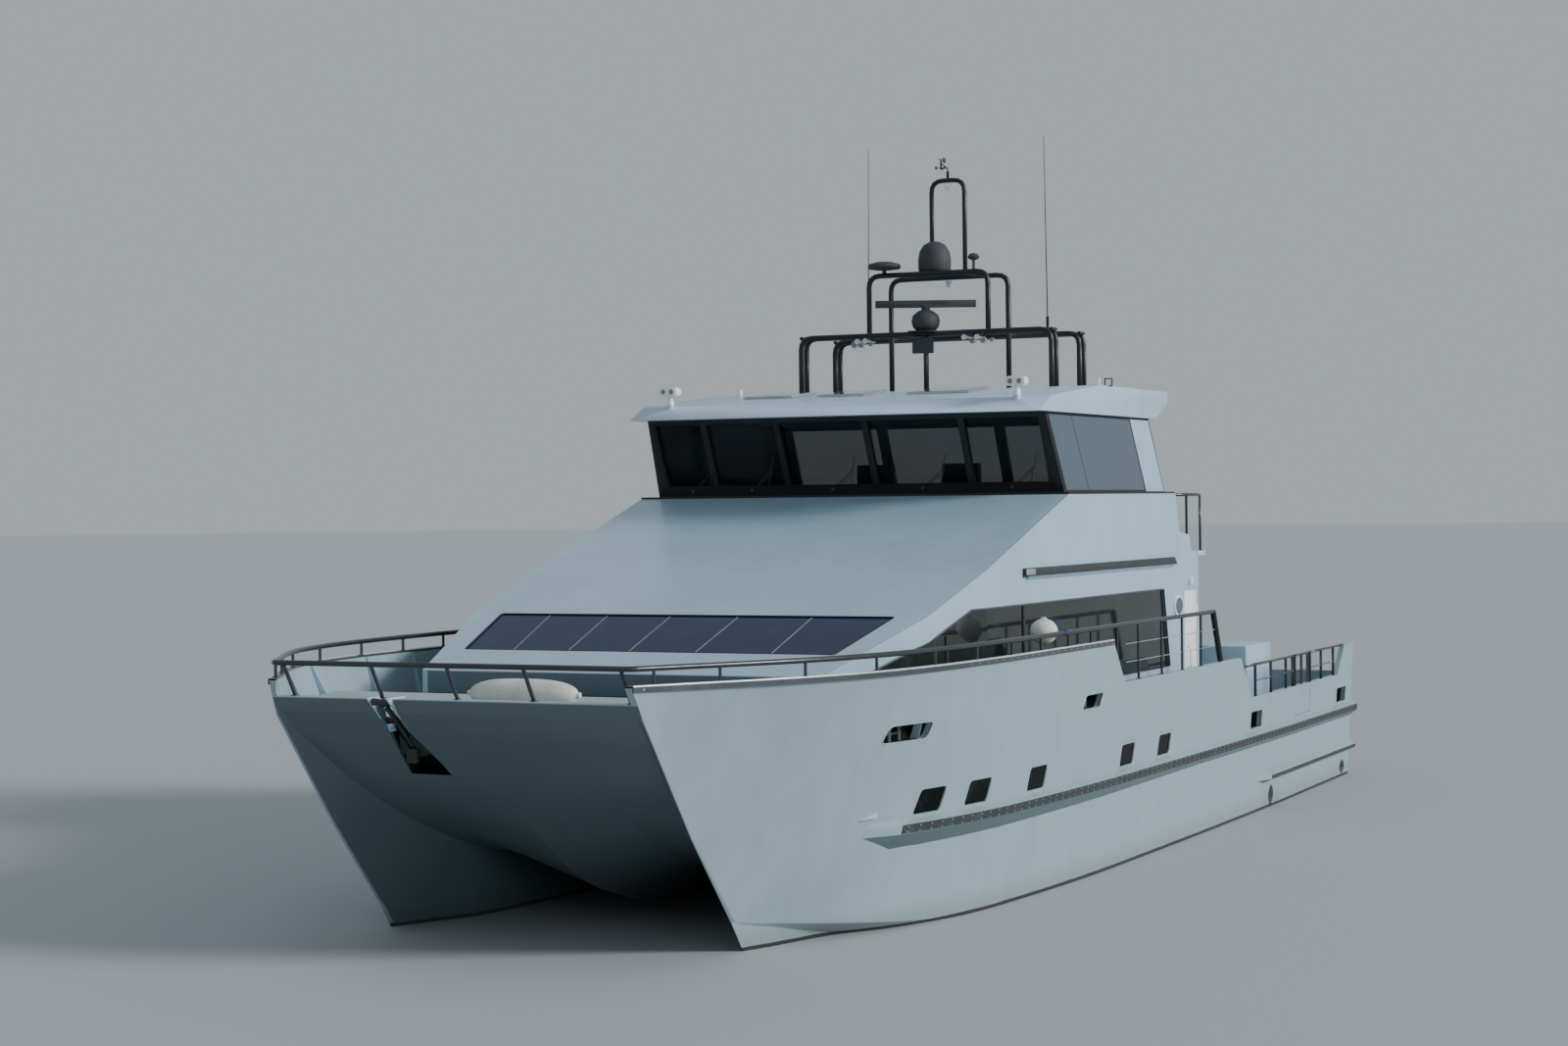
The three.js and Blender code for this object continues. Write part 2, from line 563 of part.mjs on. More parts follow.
// Upper deck, over the salon and under the wheelhouse
const upperInside = cabinBlock(WALL_T + GAP, UPPER_DECK_Z - UPPER_DECK_T, UPPER_DECK_Z)
  .intersect(block(-WIDE, WIDE, 7600, CABIN_BACK, 0, 6000));
const upperOver = block(-CABIN_HALF, CABIN_HALF, CABIN_BACK + GAP, UPPER_DECK_BACK,
  UPPER_DECK_Z - UPPER_DECK_T, UPPER_DECK_Z);
const upperLink = block(-CABIN_HALF + WALL_T + GAP, CABIN_HALF - WALL_T - GAP,
  CABIN_BACK - 100, UPPER_DECK_BACK - 100, UPPER_DECK_Z - UPPER_DECK_T, UPPER_DECK_Z);
addPiece('upper_deck', join(upperInside, upperOver, upperLink), FINISH.lightPaint);

// After wall of the salon, with the sliding door's opening and a fixed light beside it
const AFT_WALL = { at0: 15180, at1: 15250 };
const AFT_DOOR = { x0: -850, x1: 50, z0: 1230, z1: 3250 };
const AFT_LIGHT = { x0: 150, x1: 1050, z0: 1900, z1: 3250 };
const aftWall = cut(
  block(-CABIN_HALF + WALL_T + GAP, CABIN_HALF - WALL_T - GAP, AFT_WALL.at0, AFT_WALL.at1,
    MAIN_DECK_Z + GAP, UPPER_DECK_Z - UPPER_DECK_T - GAP),
  block(AFT_DOOR.x0, AFT_DOOR.x1, AFT_WALL.at0 - 50, AFT_WALL.at1 + 50, AFT_DOOR.z0, AFT_DOOR.z1),
  block(AFT_LIGHT.x0, AFT_LIGHT.x1, AFT_WALL.at0 - 50, AFT_WALL.at1 + 50, AFT_LIGHT.z0, AFT_LIGHT.z1));
addPiece('cabin_aft_wall', aftWall, FINISH.hullPaint);

// Sliding door on the after face of that wall; it runs on a ledge just above the deck
const aftLeaf = join(
  block(AFT_DOOR.x0 - 40, AFT_DOOR.x1 + 40, AFT_WALL.at1 + 6, AFT_WALL.at1 + 46,
    AFT_DOOR.z0 - 20, AFT_DOOR.z1 + 40),
  block(AFT_DOOR.x0 - 40, AFT_DOOR.x1 + 40, AFT_WALL.at1 + 20, AFT_WALL.at1 + 32,
    MAIN_DECK_Z + SEAT, AFT_DOOR.z0));
addPiece('aft_door', aftLeaf, FINISH.glass);

// Side doors hang on knuckles at their after edge, on the wall's outer face
const HINGE_X = CABIN_HALF + 13;
const sideDoorLeaf = block(CABIN_HALF - 40, CABIN_HALF, DOOR.at0 + 8, DOOR.at1 - 5, DOOR.z0 + 5, DOOR.z1 - 5);
const sideDoorKnuckles = [1500, 2950].map((z) => join(
  rod([HINGE_X, fromBow(DOOR.at1), z], [HINGE_X, fromBow(DOOR.at1), z + 120], 12.4, 12),
  block(CABIN_HALF - 1, CABIN_HALF + 10, DOOR.at1 - 60, DOOR.at1 - 6, z, z + 120)));
const sideDoor = join(sideDoorLeaf, ...sideDoorKnuckles);
addPiece('side_door_port', sideDoor, FINISH.whitePlastic);
addPiece('side_door_starboard', mirrored(sideDoor), FINISH.whitePlastic);

// Wheelhouse: walls that rake forward as they rise. Front, back and half-breadth, low and high
const HOUSE = {
  low: { z: PANEL_TOP_Z + GAP, front: 10000, back: 14180, half: 2950 },
  high: { z: ROOF_LOW_Z - GAP, front: 9520, back: 13720, half: 2865 },
};
const houseRing = (h, inset, z = h.z) => [
  [h.half - inset, fromBow(h.front + inset), z], [h.half - inset, fromBow(h.back - inset), z],
  [-h.half + inset, fromBow(h.back - inset), z], [-h.half + inset, fromBow(h.front + inset), z],
];
const houseMix = (t) => {
  const { low, high } = HOUSE;
  const mix = (k) => low[k] + (high[k] - low[k]) * t;
  return { z: mix('z'), front: mix('front'), back: mix('back'), half: mix('half') };
};
const houseSlice = (t0, t1, inset) => loft([
  houseRing(houseMix(t0), inset), houseRing(houseMix(t1), inset),
]);
const houseShell = cut(houseSlice(0, 1, 0), houseSlice(-0.5, 1.5, WALL_T));
const PANE_LOW = 0.16;
const PANE_TOP = 0.94;
// Front panes between mullions, as half-breadths from starboard to port
const FRONT_PANES = [[-2760, -2080], [-1990, -990], [-910, 290], [380, 1650], [1740, 2760]];
const frontHoles = FRONT_PANES.map(([x0, x1]) => {
  const ring = (t) => {
    const h = houseMix(t);
    const y0 = fromBow(h.front - 300);
    const y1 = fromBow(h.front + 300);
    return [[x1, y0, h.z], [x1, y1, h.z], [x0, y1, h.z], [x0, y0, h.z]];
  };
  return loft([ring(PANE_LOW), ring(PANE_TOP)]);
});
// Side panes, as distances aft of the raked front
const SIDE_PANES = [[170, 880], [960, 3250]];
const sideHoles = SIDE_PANES.map(([a0, a1]) => {
  const ring = (t) => {
    const h = houseMix(t);
    return [[WIDE, fromBow(h.front + a0), h.z], [WIDE, fromBow(h.front + a1), h.z],
      [-WIDE, fromBow(h.front + a1), h.z], [-WIDE, fromBow(h.front + a0), h.z]];
  };
  return loft([ring(0.07), ring(PANE_TOP)]);
});
// After wall: two lights and a doorway
const backHole = (x0, x1, t0, t1) => {
  const ring = (t) => {
    const h = houseMix(t);
    return [[x1, fromBow(h.back - 300), h.z], [x1, fromBow(h.back + 300), h.z],
      [x0, fromBow(h.back + 300), h.z], [x0, fromBow(h.back - 300), h.z]];
  };
  return loft([ring(t0), ring(t1)]);
};
const HOUSE_DOOR = { x0: 700, x1: 1450 };
const backHoles = [backHole(-2700, -1300, 0.15, PANE_TOP), backHole(-1150, 550, 0.15, PANE_TOP),
  backHole(1600, 2700, 0.15, PANE_TOP), backHole(HOUSE_DOOR.x0, HOUSE_DOOR.x1, -0.2, PANE_TOP)];

// Below the sill the after wall goes straight down to the upper deck
const sillWall = block(-CABIN_HALF + WALL_T + GAP, CABIN_HALF - WALL_T - GAP, 14112, 14176,
  UPPER_DECK_Z + GAP, PANEL_TOP_Z + 5);
const sill = cut(
  block(-CABIN_HALF, CABIN_HALF, PANEL_TOP_AT + GAP, 14170, PANEL_TOP_Z + GAP, PANEL_TOP_Z + 25),
  block(-HOUSE.low.half + 55, HOUSE.low.half - 55, 10055, 14120, 4000, 5000));
const doorDrop = block(HOUSE_DOOR.x0, HOUSE_DOOR.x1, 14000, 14400, UPPER_DECK_Z + 40, PANEL_TOP_Z + 60);
const houseFrame = cut(
  join(houseShell, sillWall, sill),
  ...frontHoles, ...sideHoles, ...backHoles, doorDrop);
addPiece('wheelhouse_frame', houseFrame, FINISH.darkMetal);

// Panes: one sheet across the front, one each side, one aft, standing inside the frame
const paneSheet = cut(houseSlice(0.1, 0.98, WALL_T + GAP), houseSlice(-0.5, 1.5, WALL_T + 12));
const frontSheet = paneSheet.intersect(block(-2780, 2780, 9000, 10040 + WALL_T, 0, 9000));
addPiece('windshield', frontSheet.intersect(loft([
  [[2780, fromBow(9900), 4700], [2780, fromBow(10180), 4700], [-2780, fromBow(10180), 4700],
    [-2780, fromBow(9900), 4700]],
  [[2780, fromBow(9420), 5760], [2780, fromBow(9700), 5760], [-2780, fromBow(9700), 5760],
    [-2780, fromBow(9420), 5760]]])), FINISH.glass);
const sideSheet = cut(houseSlice(0.04, 0.98, WALL_T + GAP), houseSlice(-0.5, 1.5, WALL_T + 12))
  .intersect(sideHolesSpan());
function sideHolesSpan() {
  const ring = (t) => {
    const h = houseMix(t);
    return [[WIDE, fromBow(h.front + 140), h.z], [WIDE, fromBow(h.front + 3290), h.z],
      [100, fromBow(h.front + 3290), h.z], [100, fromBow(h.front + 140), h.z]];
  };
  return loft([ring(0), ring(1)]);
}
addPiece('wheelhouse_window_port', sideSheet, FINISH.glass);
addPiece('wheelhouse_window_starboard', mirrored(sideSheet), FINISH.glass);
const backSheet = cut(houseSlice(0.1, 0.98, WALL_T + GAP), houseSlice(-0.5, 1.5, WALL_T + 12))
  .intersect(block(-2760, 600, 13400, 14300, 0, 9000));
addPiece('wheelhouse_window_aft', backSheet, FINISH.glass);

// Wheelhouse door: a leaf bent like the after wall, sliding across its outer face
const houseBack = (z, out) => {
  const t = (z - HOUSE.low.z) / (HOUSE.high.z - HOUSE.low.z);
  return HOUSE.low.back + (HOUSE.high.back - HOUSE.low.back) * Math.max(t, 0) + out;
};
const DOOR_OUT = 7;
const LEAF_T = 34;
const leafHeights = [UPPER_DECK_Z + SEAT, HOUSE.low.z, 5715];
const doorLeaf = sideProfile([
  ...leafHeights.map((z) => [houseBack(z, DOOR_OUT), z]),
  ...[...leafHeights].reverse().map((z) => [houseBack(z, DOOR_OUT + LEAF_T), z]),
], HOUSE_DOOR.x0 - 45, HOUSE_DOOR.x1 + 45);
addPiece('wheelhouse_door', doorLeaf, FINISH.glass);

// Wheelhouse roof: a deep fascia that rises from the eave, flat on top
const ROOF_SIDE = [
  [9140, ROOF_LOW_Z + GAP], [9560, 5955], [11480, ROOF_TOP_Z], [14380, ROOF_TOP_Z],
  [14400, 5990], [13840, ROOF_LOW_Z + GAP],
];
const ROOF_HALF = 2935;
const roofSolid = sideProfile(ROOF_SIDE, -ROOF_HALF, ROOF_HALF);
const roofHollow = cut(
  sideProfile([[9700, ROOF_LOW_Z - 100], [9900, 5860], [11500, 6060], [13500, 6060],
    [13600, ROOF_LOW_Z - 100]], -ROOF_HALF + 250, ROOF_HALF - 250));
const LAMP = { x: 2500, at: 9500, z: 5965 };
const lampBoss = rod([LAMP.x, fromBow(LAMP.at), 5880], [LAMP.x, fromBow(LAMP.at), LAMP.z], 48, 16);
addPiece('wheelhouse_roof', cut(join(roofSolid, lampBoss, mirrored(lampBoss)), roofHollow),
  FINISH.lightPaint);

const WIND = { at: 13130, z: 9471 };

// Mast: lower hoops of doubled tube, middle hoops, a top hoop, a plate and a centre post
const MAST = {
  lowFront: { half: 1910, at: 12500, top: 6990 },
  lowAft: { half: 1905, at: 13660, top: 6990 },
  midFront: { half: 910, at: 12590, top: 7850 },
  midAft: { half: 910, at: 13380, top: 7850 },
  top: { half: 255, at: 13380, top: 9250 },
};
const PAIR = 90;
const hoop = ({ half, at, top }, foot, radius = MAST_R, shift = 0) => {
  const y = fromBow(at + shift);
  return tube([[-half, y, foot], [-half, y, top], [half, y, top], [half, y, foot]],
    radius, { bend: 170 });
};
const tie = (x, at0, at1, z) => rod([x, fromBow(at0), z], [x, fromBow(at1), z], 26, 10);
const footPlate = (x, at) => block(x - 80, x + 80, at - 170, at + 170, ROOF_TOP_Z + GAP, ROOF_TOP_Z + 12);
const FOOT = ROOF_TOP_Z + 6;
const midPlate = block(-420, 420, MAST.midFront.at - 20, MAST.midAft.at + 20, 7838, 7862);
const mastFront = join(
  hoop(MAST.lowFront, FOOT, MAST_R, -PAIR), hoop(MAST.lowFront, FOOT, MAST_R, PAIR),
  ...[-1910, -600, 0, 600, 1910].map((x) => tie(x, 12410, 12590, 6990)),
  hoop(MAST.midFront, 6990, MAST_R, 0),
  tube([[0, fromBow(12500), FOOT], [0, fromBow(12500), 6990]], MAST_R),
  block(-190, 190, 12300, 12700, 7010, 7034),
  footPlate(-1910, 12500), footPlate(1910, 12500), footPlate(0, 12500));
addPiece('mast_front', mastFront, FINISH.darkMetal);
const whip = (s) => join(
  rod([s * 1400, fromBow(13660), 6990], [s * 1400, fromBow(13660), 7250], 22, 10),
  rod([s * 1400, fromBow(13660), 7200], [s * (1400 - 30), fromBow(13660), 9830], 9, 8, 4));
const mastAft = join(
  hoop(MAST.lowAft, FOOT, MAST_R, -PAIR), hoop(MAST.lowAft, FOOT, MAST_R, PAIR),
  ...[-1905, -1400, 1400, 1905].map((x) => tie(x, 13570, 13750, 6990)),
  hoop(MAST.midAft, FOOT),
  tie(-910, 13380, 13600, 6990), tie(910, 13380, 13600, 6990),
  hoop(MAST.top, 7850, 34),
  cut(midPlate, block(-2000, 2000, 12000, MAST.midFront.at + MAST_R + 4, 7000, 8000)),
  rod([0, fromBow(13380), 9250], [0, fromBow(13380), 9380], 20, 10),
  tube([[0, fromBow(13380), 9370], [0, fromBow(13380), 9420], [0, fromBow(13140), 9470]],
    9, { bend: 40, sides: 8 }),
  rod([0, fromBow(WIND.at), WIND.z - 29.4], [0, fromBow(WIND.at), WIND.z + 19.4], 13, 10),
  whip(1), whip(-1),
  footPlate(-1905, 13660), footPlate(1905, 13660), footPlate(-910, 13380), footPlate(910, 13380));
addPiece('mast_aft', mastAft, FINISH.darkMetal);

// Satellite dome on its plate, and the radar with its turning bar
const DOME_AT = 12850;
const domeProfile = [[0, 0], [150, 0], [215, 20], [232, 60], [235, 210], [215, 320], [160, 410],
  [80, 455], [0, 468]].map(([r, z]) => new THREE.Vector2(r, z));
const lathe = (profile, sides) => {
  const g = new THREE.LatheGeometry(profile, sides);
  g.rotateX(Math.PI / 2);
  return toSolid(g);
};
addPiece('satellite_dome',
  lathe(domeProfile, 32).translate([0, fromBow(DOME_AT), 7862 + GAP]), FINISH.blackPlastic);
const RADAR_AT = 12500;
const RADAR_TOP = 7330;
const pedestalProfile = [[0, 7034 + GAP], [130, 7034 + GAP], [185, 7090], [205, 7170], [185, 7250],
  [120, 7305], [70, RADAR_TOP], [0, RADAR_TOP]].map(([r, z]) => new THREE.Vector2(r, z));
addPiece('radar_pedestal', lathe(pedestalProfile, 24).translate([0, fromBow(RADAR_AT), 0]),
  FINISH.blackPlastic);
const radarBar = new THREE.BoxGeometry(1420, 110, 100);
radarBar.rotateZ(THREE.MathUtils.degToRad(25.8));
radarBar.translate(0, fromBow(RADAR_AT), 7415);
addPiece('radar_scanner', join(toSolid(radarBar),
  rod([0, fromBow(RADAR_AT), RADAR_TOP + SEAT], [0, fromBow(RADAR_AT), 7400], 60, 20)),
FINISH.blackPlastic);

// Wind sensor: cups and a vane turn on the head at the end of the masthead arm
const cups = join(
  rod([0, fromBow(WIND.at), WIND.z - 30], [0, fromBow(WIND.at), WIND.z - 90], 14, 10),
  ...[90, 210, 330].map((deg) => {
    const a = THREE.MathUtils.degToRad(deg);
    const [dx, dy] = [Math.cos(a), Math.sin(a)];
    const z = WIND.z - 70;
    return join(
      rod([0, fromBow(WIND.at), z], [60 * dx, fromBow(WIND.at) + 60 * dy, z], 4, 8),
      rod([70 * dx - 14 * dy, fromBow(WIND.at) + 70 * dy + 14 * dx, z],
        [70 * dx + 14 * dy, fromBow(WIND.at) + 70 * dy - 14 * dx, z], 22, 10, 6));
  }));
const vaneParts = join(
  rod([0, fromBow(WIND.at), WIND.z + 20], [0, fromBow(WIND.at), WIND.z + 60], 12, 12),
  rod([0, fromBow(WIND.at - 110), WIND.z + 50], [0, fromBow(WIND.at + 120), WIND.z + 50], 5, 8),
  block(-3, 3, WIND.at + 70, WIND.at + 170, WIND.z + 20, WIND.z + 90));
addPiece('wind_cups', cups, FINISH.blackPlastic);
addPiece('wind_vane', vaneParts, FINISH.blackPlastic);

// Searchlights turn on round bosses at the front of the roof
const lampY = fromBow(LAMP.at);
const lampZ = LAMP.z + SEAT;
const searchlight = join(
  rod([LAMP.x, lampY, lampZ], [LAMP.x, lampY, lampZ + 125], 52, 16, 26),
  sideProfile([[-75, 120], [-85, 135], [-85, 225], [-70, 242], [45, 242], [70, 225], [70, 135], [50, 118]]
    .map(([d, z]) => [LAMP.at + d, lampZ + z]), LAMP.x - 135, LAMP.x + 135));
addPiece('searchlight_port', searchlight, FINISH.whitePlastic);
addPiece('searchlight_starboard', mirrored(searchlight), FINISH.whitePlastic);

// Deck rail from gate to gate around the bow, on posts
const railLine = [0, 170, 760, 1110, 1970, 2600, 3300, 4400, 6000, 9300, 13650].map((at) => [
  sideX(at, CAP_Z) - 55, fromBow(at + (at === 0 ? 20 : 0)), RAIL_Z]);
const railPoints = [...railLine.slice(0).reverse(), ...railLine.map(([x, y, z]) => [-x, y, z])];
const postTo = (x, at, z, foot, lean = 0) =>
  rod([x, fromBow(at), z], [x, fromBow(at + lean), foot], 17, 8);
const capPosts = [500, 1250, 2150, 3100, 4050, 5000, 6000, 7000, 8000, 9000];
const gatePosts = [9560, 10430, 11440, 12310, 13160, 13640];
const sidePosts = (s) => [
  ...capPosts.map((at) => postTo(s * (sideX(at, CAP_Z) - 45), at, RAIL_Z, CAP_Z + SEAT)),
  ...gatePosts.map((at) => postTo(s * (sideX(at, CAP_Z) - 50), at, RAIL_Z,
    at < 9680 ? 2440 : 2330 + SEAT)),
];
const frontPosts = [-1980, -920, 0, 900, 1980].map((x) =>
  postTo(x, 20, RAIL_Z, DECK_EDGE_Z - 10, 110));
const deckRail = cut(
  join(tube(railPoints, RAIL_R, { sides: 8 }), ...frontPosts, ...sidePosts(1), ...sidePosts(-1)),
  block(-WIDE, WIDE, -300, 500, DECK_EDGE_Z - 60, DECK_EDGE_Z + SEAT),
  bulwark.translate([0, 0, GAP]), mirrored(bulwark).translate([0, 0, GAP]));
addPiece('deck_rail', deckRail, FINISH.darkMetal);

// Rails along the low run of the bulwark, from slope to slope; the port gate carries its own length
const AFT_RAIL = {
  at0: 14960, at1: 21250, z: 2185, mid: 1945, foot: 1720, inset: 50, r: 20, wire: 8, post: 22, end: 40,
};
const aftRailX = (at) => sideX(at, AFT_RAIL.z) - AFT_RAIL.inset;
function aftRail(at0, at1, posts, foot = AFT_RAIL.foot + SEAT) {
  const line = [at0, (at0 + at1) / 2, at1].map((at) => [aftRailX(at), fromBow(at), AFT_RAIL.z]);
  const wire = [posts[0], posts.at(-1)].map((at) => [aftRailX(at), fromBow(at), AFT_RAIL.mid]);
  return join(tube(line, AFT_RAIL.r, { sides: 8 }), tube(wire, AFT_RAIL.wire, { sides: 8 }),
    ...posts.map((at) => rod([aftRailX(at), fromBow(at), AFT_RAIL.z],
      [aftRailX(at), fromBow(at), foot], AFT_RAIL.post, 8)));
}
const clearOfSlopes = (rail) =>
  cut(rail, bulwark.translate([0, SEAT, 0]), bulwark.translate([0, -SEAT, 0]));
const railAhead = aftRail(AFT_RAIL.at0, GATE.at0 - AFT_RAIL.end, [15800, 16650, 17520, 17930]);
const railOnGate = aftRail(GATE.at0 + AFT_RAIL.end, GATE.at1 - AFT_RAIL.end, [18070, 18480, 18870], 1700);
const railAstern = aftRail(GATE.at1 + AFT_RAIL.end, AFT_RAIL.at1, [19030, 19760, 20600]);
const railWhole = aftRail(AFT_RAIL.at0, AFT_RAIL.at1, [15800, 16650, 17550, 18600, 19600, 20600]);
addPiece('boarding_gate', join(boardingGate, railOnGate), FINISH.hullPaint);
addPiece('aft_rail_port', clearOfSlopes(railAhead), FINISH.darkMetal);
addPiece('aft_rail_quarter', clearOfSlopes(railAstern), FINISH.darkMetal);
addPiece('aft_rail_starboard', mirrored(clearOfSlopes(railWhole)), FINISH.darkMetal);

// Upper deck rail round the after end
const UP = { x: 3040, at0: 14260, at1: 15600, z: 4680 };
const upperRail = join(
  tube([[UP.x, fromBow(UP.at0), UP.z], [UP.x, fromBow(UP.at1), UP.z],
    [-UP.x, fromBow(UP.at1), UP.z], [-UP.x, fromBow(UP.at0), UP.z]], 22, { bend: 120, sides: 8 }),
  ...[14900, 15560].flatMap((at) => [1, -1].map((s) =>
    rod([s * UP.x, fromBow(at), UP.z], [s * UP.x, fromBow(at), UPPER_DECK_Z + SEAT], 19, 8))),
  ...[-1800, -600, 600, 1800].map((x) =>
    rod([x, fromBow(UP.at1), UP.z], [x, fromBow(UP.at1), UPPER_DECK_Z + SEAT], 19, 8)));
addPiece('upper_rail', cut(upperRail, mirrored(sideWallPort).translate([0, 0, GAP]),
  sideWallPort.translate([0, 0, GAP])), FINISH.darkMetal);

// Anchor, stowed in its pocket on a plate
const anchorY = (along) => fromBow(360 + 0.74 * along);
const anchorZ = (along) => 2430 - 0.67 * along;
const onShank = (along) => [POCKET_X, anchorY(along), anchorZ(along)];
const anchorShank = rod(onShank(-250), onShank(500), 28, 10);
const flukes = [1, -1].map((s) => loft([
  [[POCKET_X + s * 20, anchorY(480), anchorZ(480)], [POCKET_X + s * 190, anchorY(430), anchorZ(430)],
    [POCKET_X + s * 60, anchorY(140), anchorZ(140)]],
  [[POCKET_X + s * 20, anchorY(500), anchorZ(500) - 40],
    [POCKET_X + s * 190, anchorY(450), anchorZ(450) - 40],
    [POCKET_X + s * 60, anchorY(160), anchorZ(160) - 40]],
]));
addPiece('anchor', cut(join(anchorShank, ...flukes,
  block(POCKET_X - 60, POCKET_X + 60, 600, 660, 2000, 2150)),
bridge, bridge.translate([0, -SEAT, 0]), bridge.translate([0, 0, SEAT])), FINISH.steel);

// Shafts with their struts, propellers and rudders
const shaftPoint = (back) => [KEEL_X, fromBow(PROP_AT + back * Math.cos(SHAFT_RAKE)),
  PROP_Z - back * Math.sin(SHAFT_RAKE)];
const hullBelow = demihull.translate([0, 0, -GAP]);
const shaftBody = cut(join(
  rod(shaftPoint(-2700), shaftPoint(60), SHAFT_R, 24),
  rod(shaftPoint(-360), shaftPoint(-150), 62, 20),
  sideProfile([[19560, -980], [19760, -980], [19700, -300], [19480, -300]], KEEL_X - 14, KEEL_X + 14)),
hullBelow);
addPiece('shaft_port', shaftBody, FINISH.steel);
addPiece('shaft_starboard', mirrored(shaftBody), FINISH.steel);

const hubBore = rod(shaftPoint(-200), shaftPoint(61), SHAFT_R + 1.2, 24);
const hub = join(
  rod(shaftPoint(-140), shaftPoint(40), 78, 22, 70), rod(shaftPoint(10), shaftPoint(150), 66, 22, 20));
const BLADES = 5;
const propAxis = new THREE.Vector3(...shaftPoint(0)).sub(new THREE.Vector3(...shaftPoint(-100))).normalize();
const propTurn = new THREE.Quaternion().setFromUnitVectors(new THREE.Vector3(0, 1, 0), propAxis);
function blade(i) {
  const shape = new THREE.Shape();
  shape.moveTo(-45, 50);
  shape.bezierCurveTo(-150, 170, -150, 330, 0, PROP_R);
  shape.bezierCurveTo(110, 330, 130, 170, 45, 50);
  const g = new THREE.ExtrudeGeometry(shape, { depth: 16, bevelEnabled: false, curveSegments: 6 });
  g.translate(0, 0, -8);
  g.rotateY(THREE.MathUtils.degToRad(38));
  const spin = new THREE.Matrix4().makeRotationY((2 * Math.PI * i) / BLADES);
  const stand = new THREE.Matrix4().makeRotationX(Math.PI / 2);
  const m = new THREE.Matrix4().makeRotationFromQuaternion(propTurn)
    .multiply(spin).multiply(stand);
  g.applyMatrix4(m);
  g.translate(...shaftPoint(-50));
  return toSolid(g);
}
const propeller = cut(join(hub, ...Array.from({ length: BLADES }, (_, i) => blade(i))), hubBore);
addPiece('propeller_port', propeller, FINISH.bronze);
addPiece('propeller_starboard', mirrored(propeller), FINISH.bronze);

const rudder = join(
  rod([KEEL_X, fromBow(RUDDER_AT), RUDDER_PAD_Z - SEAT], [KEEL_X, fromBow(RUDDER_AT), -1250], 38, 20),
  loft([
    [[KEEL_X, fromBow(20760), -640], [KEEL_X + 30, fromBow(20960), -640],
      [KEEL_X, fromBow(21320), -640], [KEEL_X - 30, fromBow(20960), -640]],
    [[KEEL_X, fromBow(20800), -1300], [KEEL_X + 20, fromBow(20960), -1300],
      [KEEL_X, fromBow(21250), -1300], [KEEL_X - 20, fromBow(20960), -1300]],
  ]));
addPiece('rudder_port', rudder, FINISH.bronze);
addPiece('rudder_starboard', mirrored(rudder), FINISH.bronze);

// Engines and the hatches over them
const engine = block(2300, 3100, 16100, 17550, BAY.z0 + GAP, 720);
addPiece('engine_port', engine, FINISH.engine);
addPiece('engine_starboard', mirrored(engine), FINISH.engine);
const hatch = block(BAY.x0 - 60, BAY.x1 + 60, BAY.at0 - 60, BAY.at1 + 60,
  MAIN_DECK_Z + GAP, MAIN_DECK_Z + 45);
addPiece('engine_hatch_port', hatch, FINISH.lightPaint);
addPiece('engine_hatch_starboard', mirrored(hatch), FINISH.lightPaint);

// Helm console with a seat behind it, and the cabinet on the after deck
const helm = join(
  sideProfile([[10350, UPPER_DECK_Z + GAP], [10350, 4620], [10600, 4720], [10950, 4560],
    [10900, UPPER_DECK_Z + GAP]], -1900, 1900),
  block(-1000, 1000, 10800, 12300, UPPER_DECK_Z + GAP, UPPER_DECK_Z + 60),
  ...[-650, 650].flatMap((x) => [
    block(x - 90, x + 90, 11850, 12050, UPPER_DECK_Z + 30, 4400),
    block(x - 280, x + 280, 11650, 12200, 4380, 4520),
    block(x - 270, x + 270, 12120, 12240, 4500, 5150),
  ]));
addPiece('helm_station', helm, FINISH.blackPlastic);
addPiece('aft_cabinet', block(1600, 2850, 18600, 20000, MAIN_DECK_Z + GAP, 2290), FINISH.lightPaint);

// Fenders: one laid on the foredeck, one hung on the deck rail by a blue lashing
const fenderProfile = [[0, 0], [90, 8], [150, 60], [160, 200], [160, 1170], [150, 1310],
  [90, 1362], [0, 1370]].map(([r, z]) => new THREE.Vector2(r, z));
const bigFender = lathe(fenderProfile, 24)
  .rotate([0, 90, 0]).translate([-740, fromBow(1600), FOREDECK_Z + 160 + SEAT]);
addPiece('foredeck_fender', bigFender, FINISH.fabric);
const ballProfile = [[0, 0], [60, 12], [130, 60], [165, 140], [165, 200], [130, 280], [60, 330],
  [0, 340]].map(([r, z]) => new THREE.Vector2(r, z));
const BALL = { at: 7370, x: 3613.4 };
addPiece('rail_fender', lathe(ballProfile, 20)
  .translate([BALL.x, fromBow(BALL.at), 2905]), FINISH.fabric);

export default boat;
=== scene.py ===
"""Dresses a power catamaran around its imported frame: skins, trim, finishes, light and camera.

A station is measured in metres aft from the stem head; heights are above the water.
"""

import json
import logging
import math
from dataclasses import dataclass, fields
from enum import Enum
from functools import cached_property
from typing import Iterable, Optional, Sequence

import bmesh
import bpy
from mathutils import Matrix, Vector

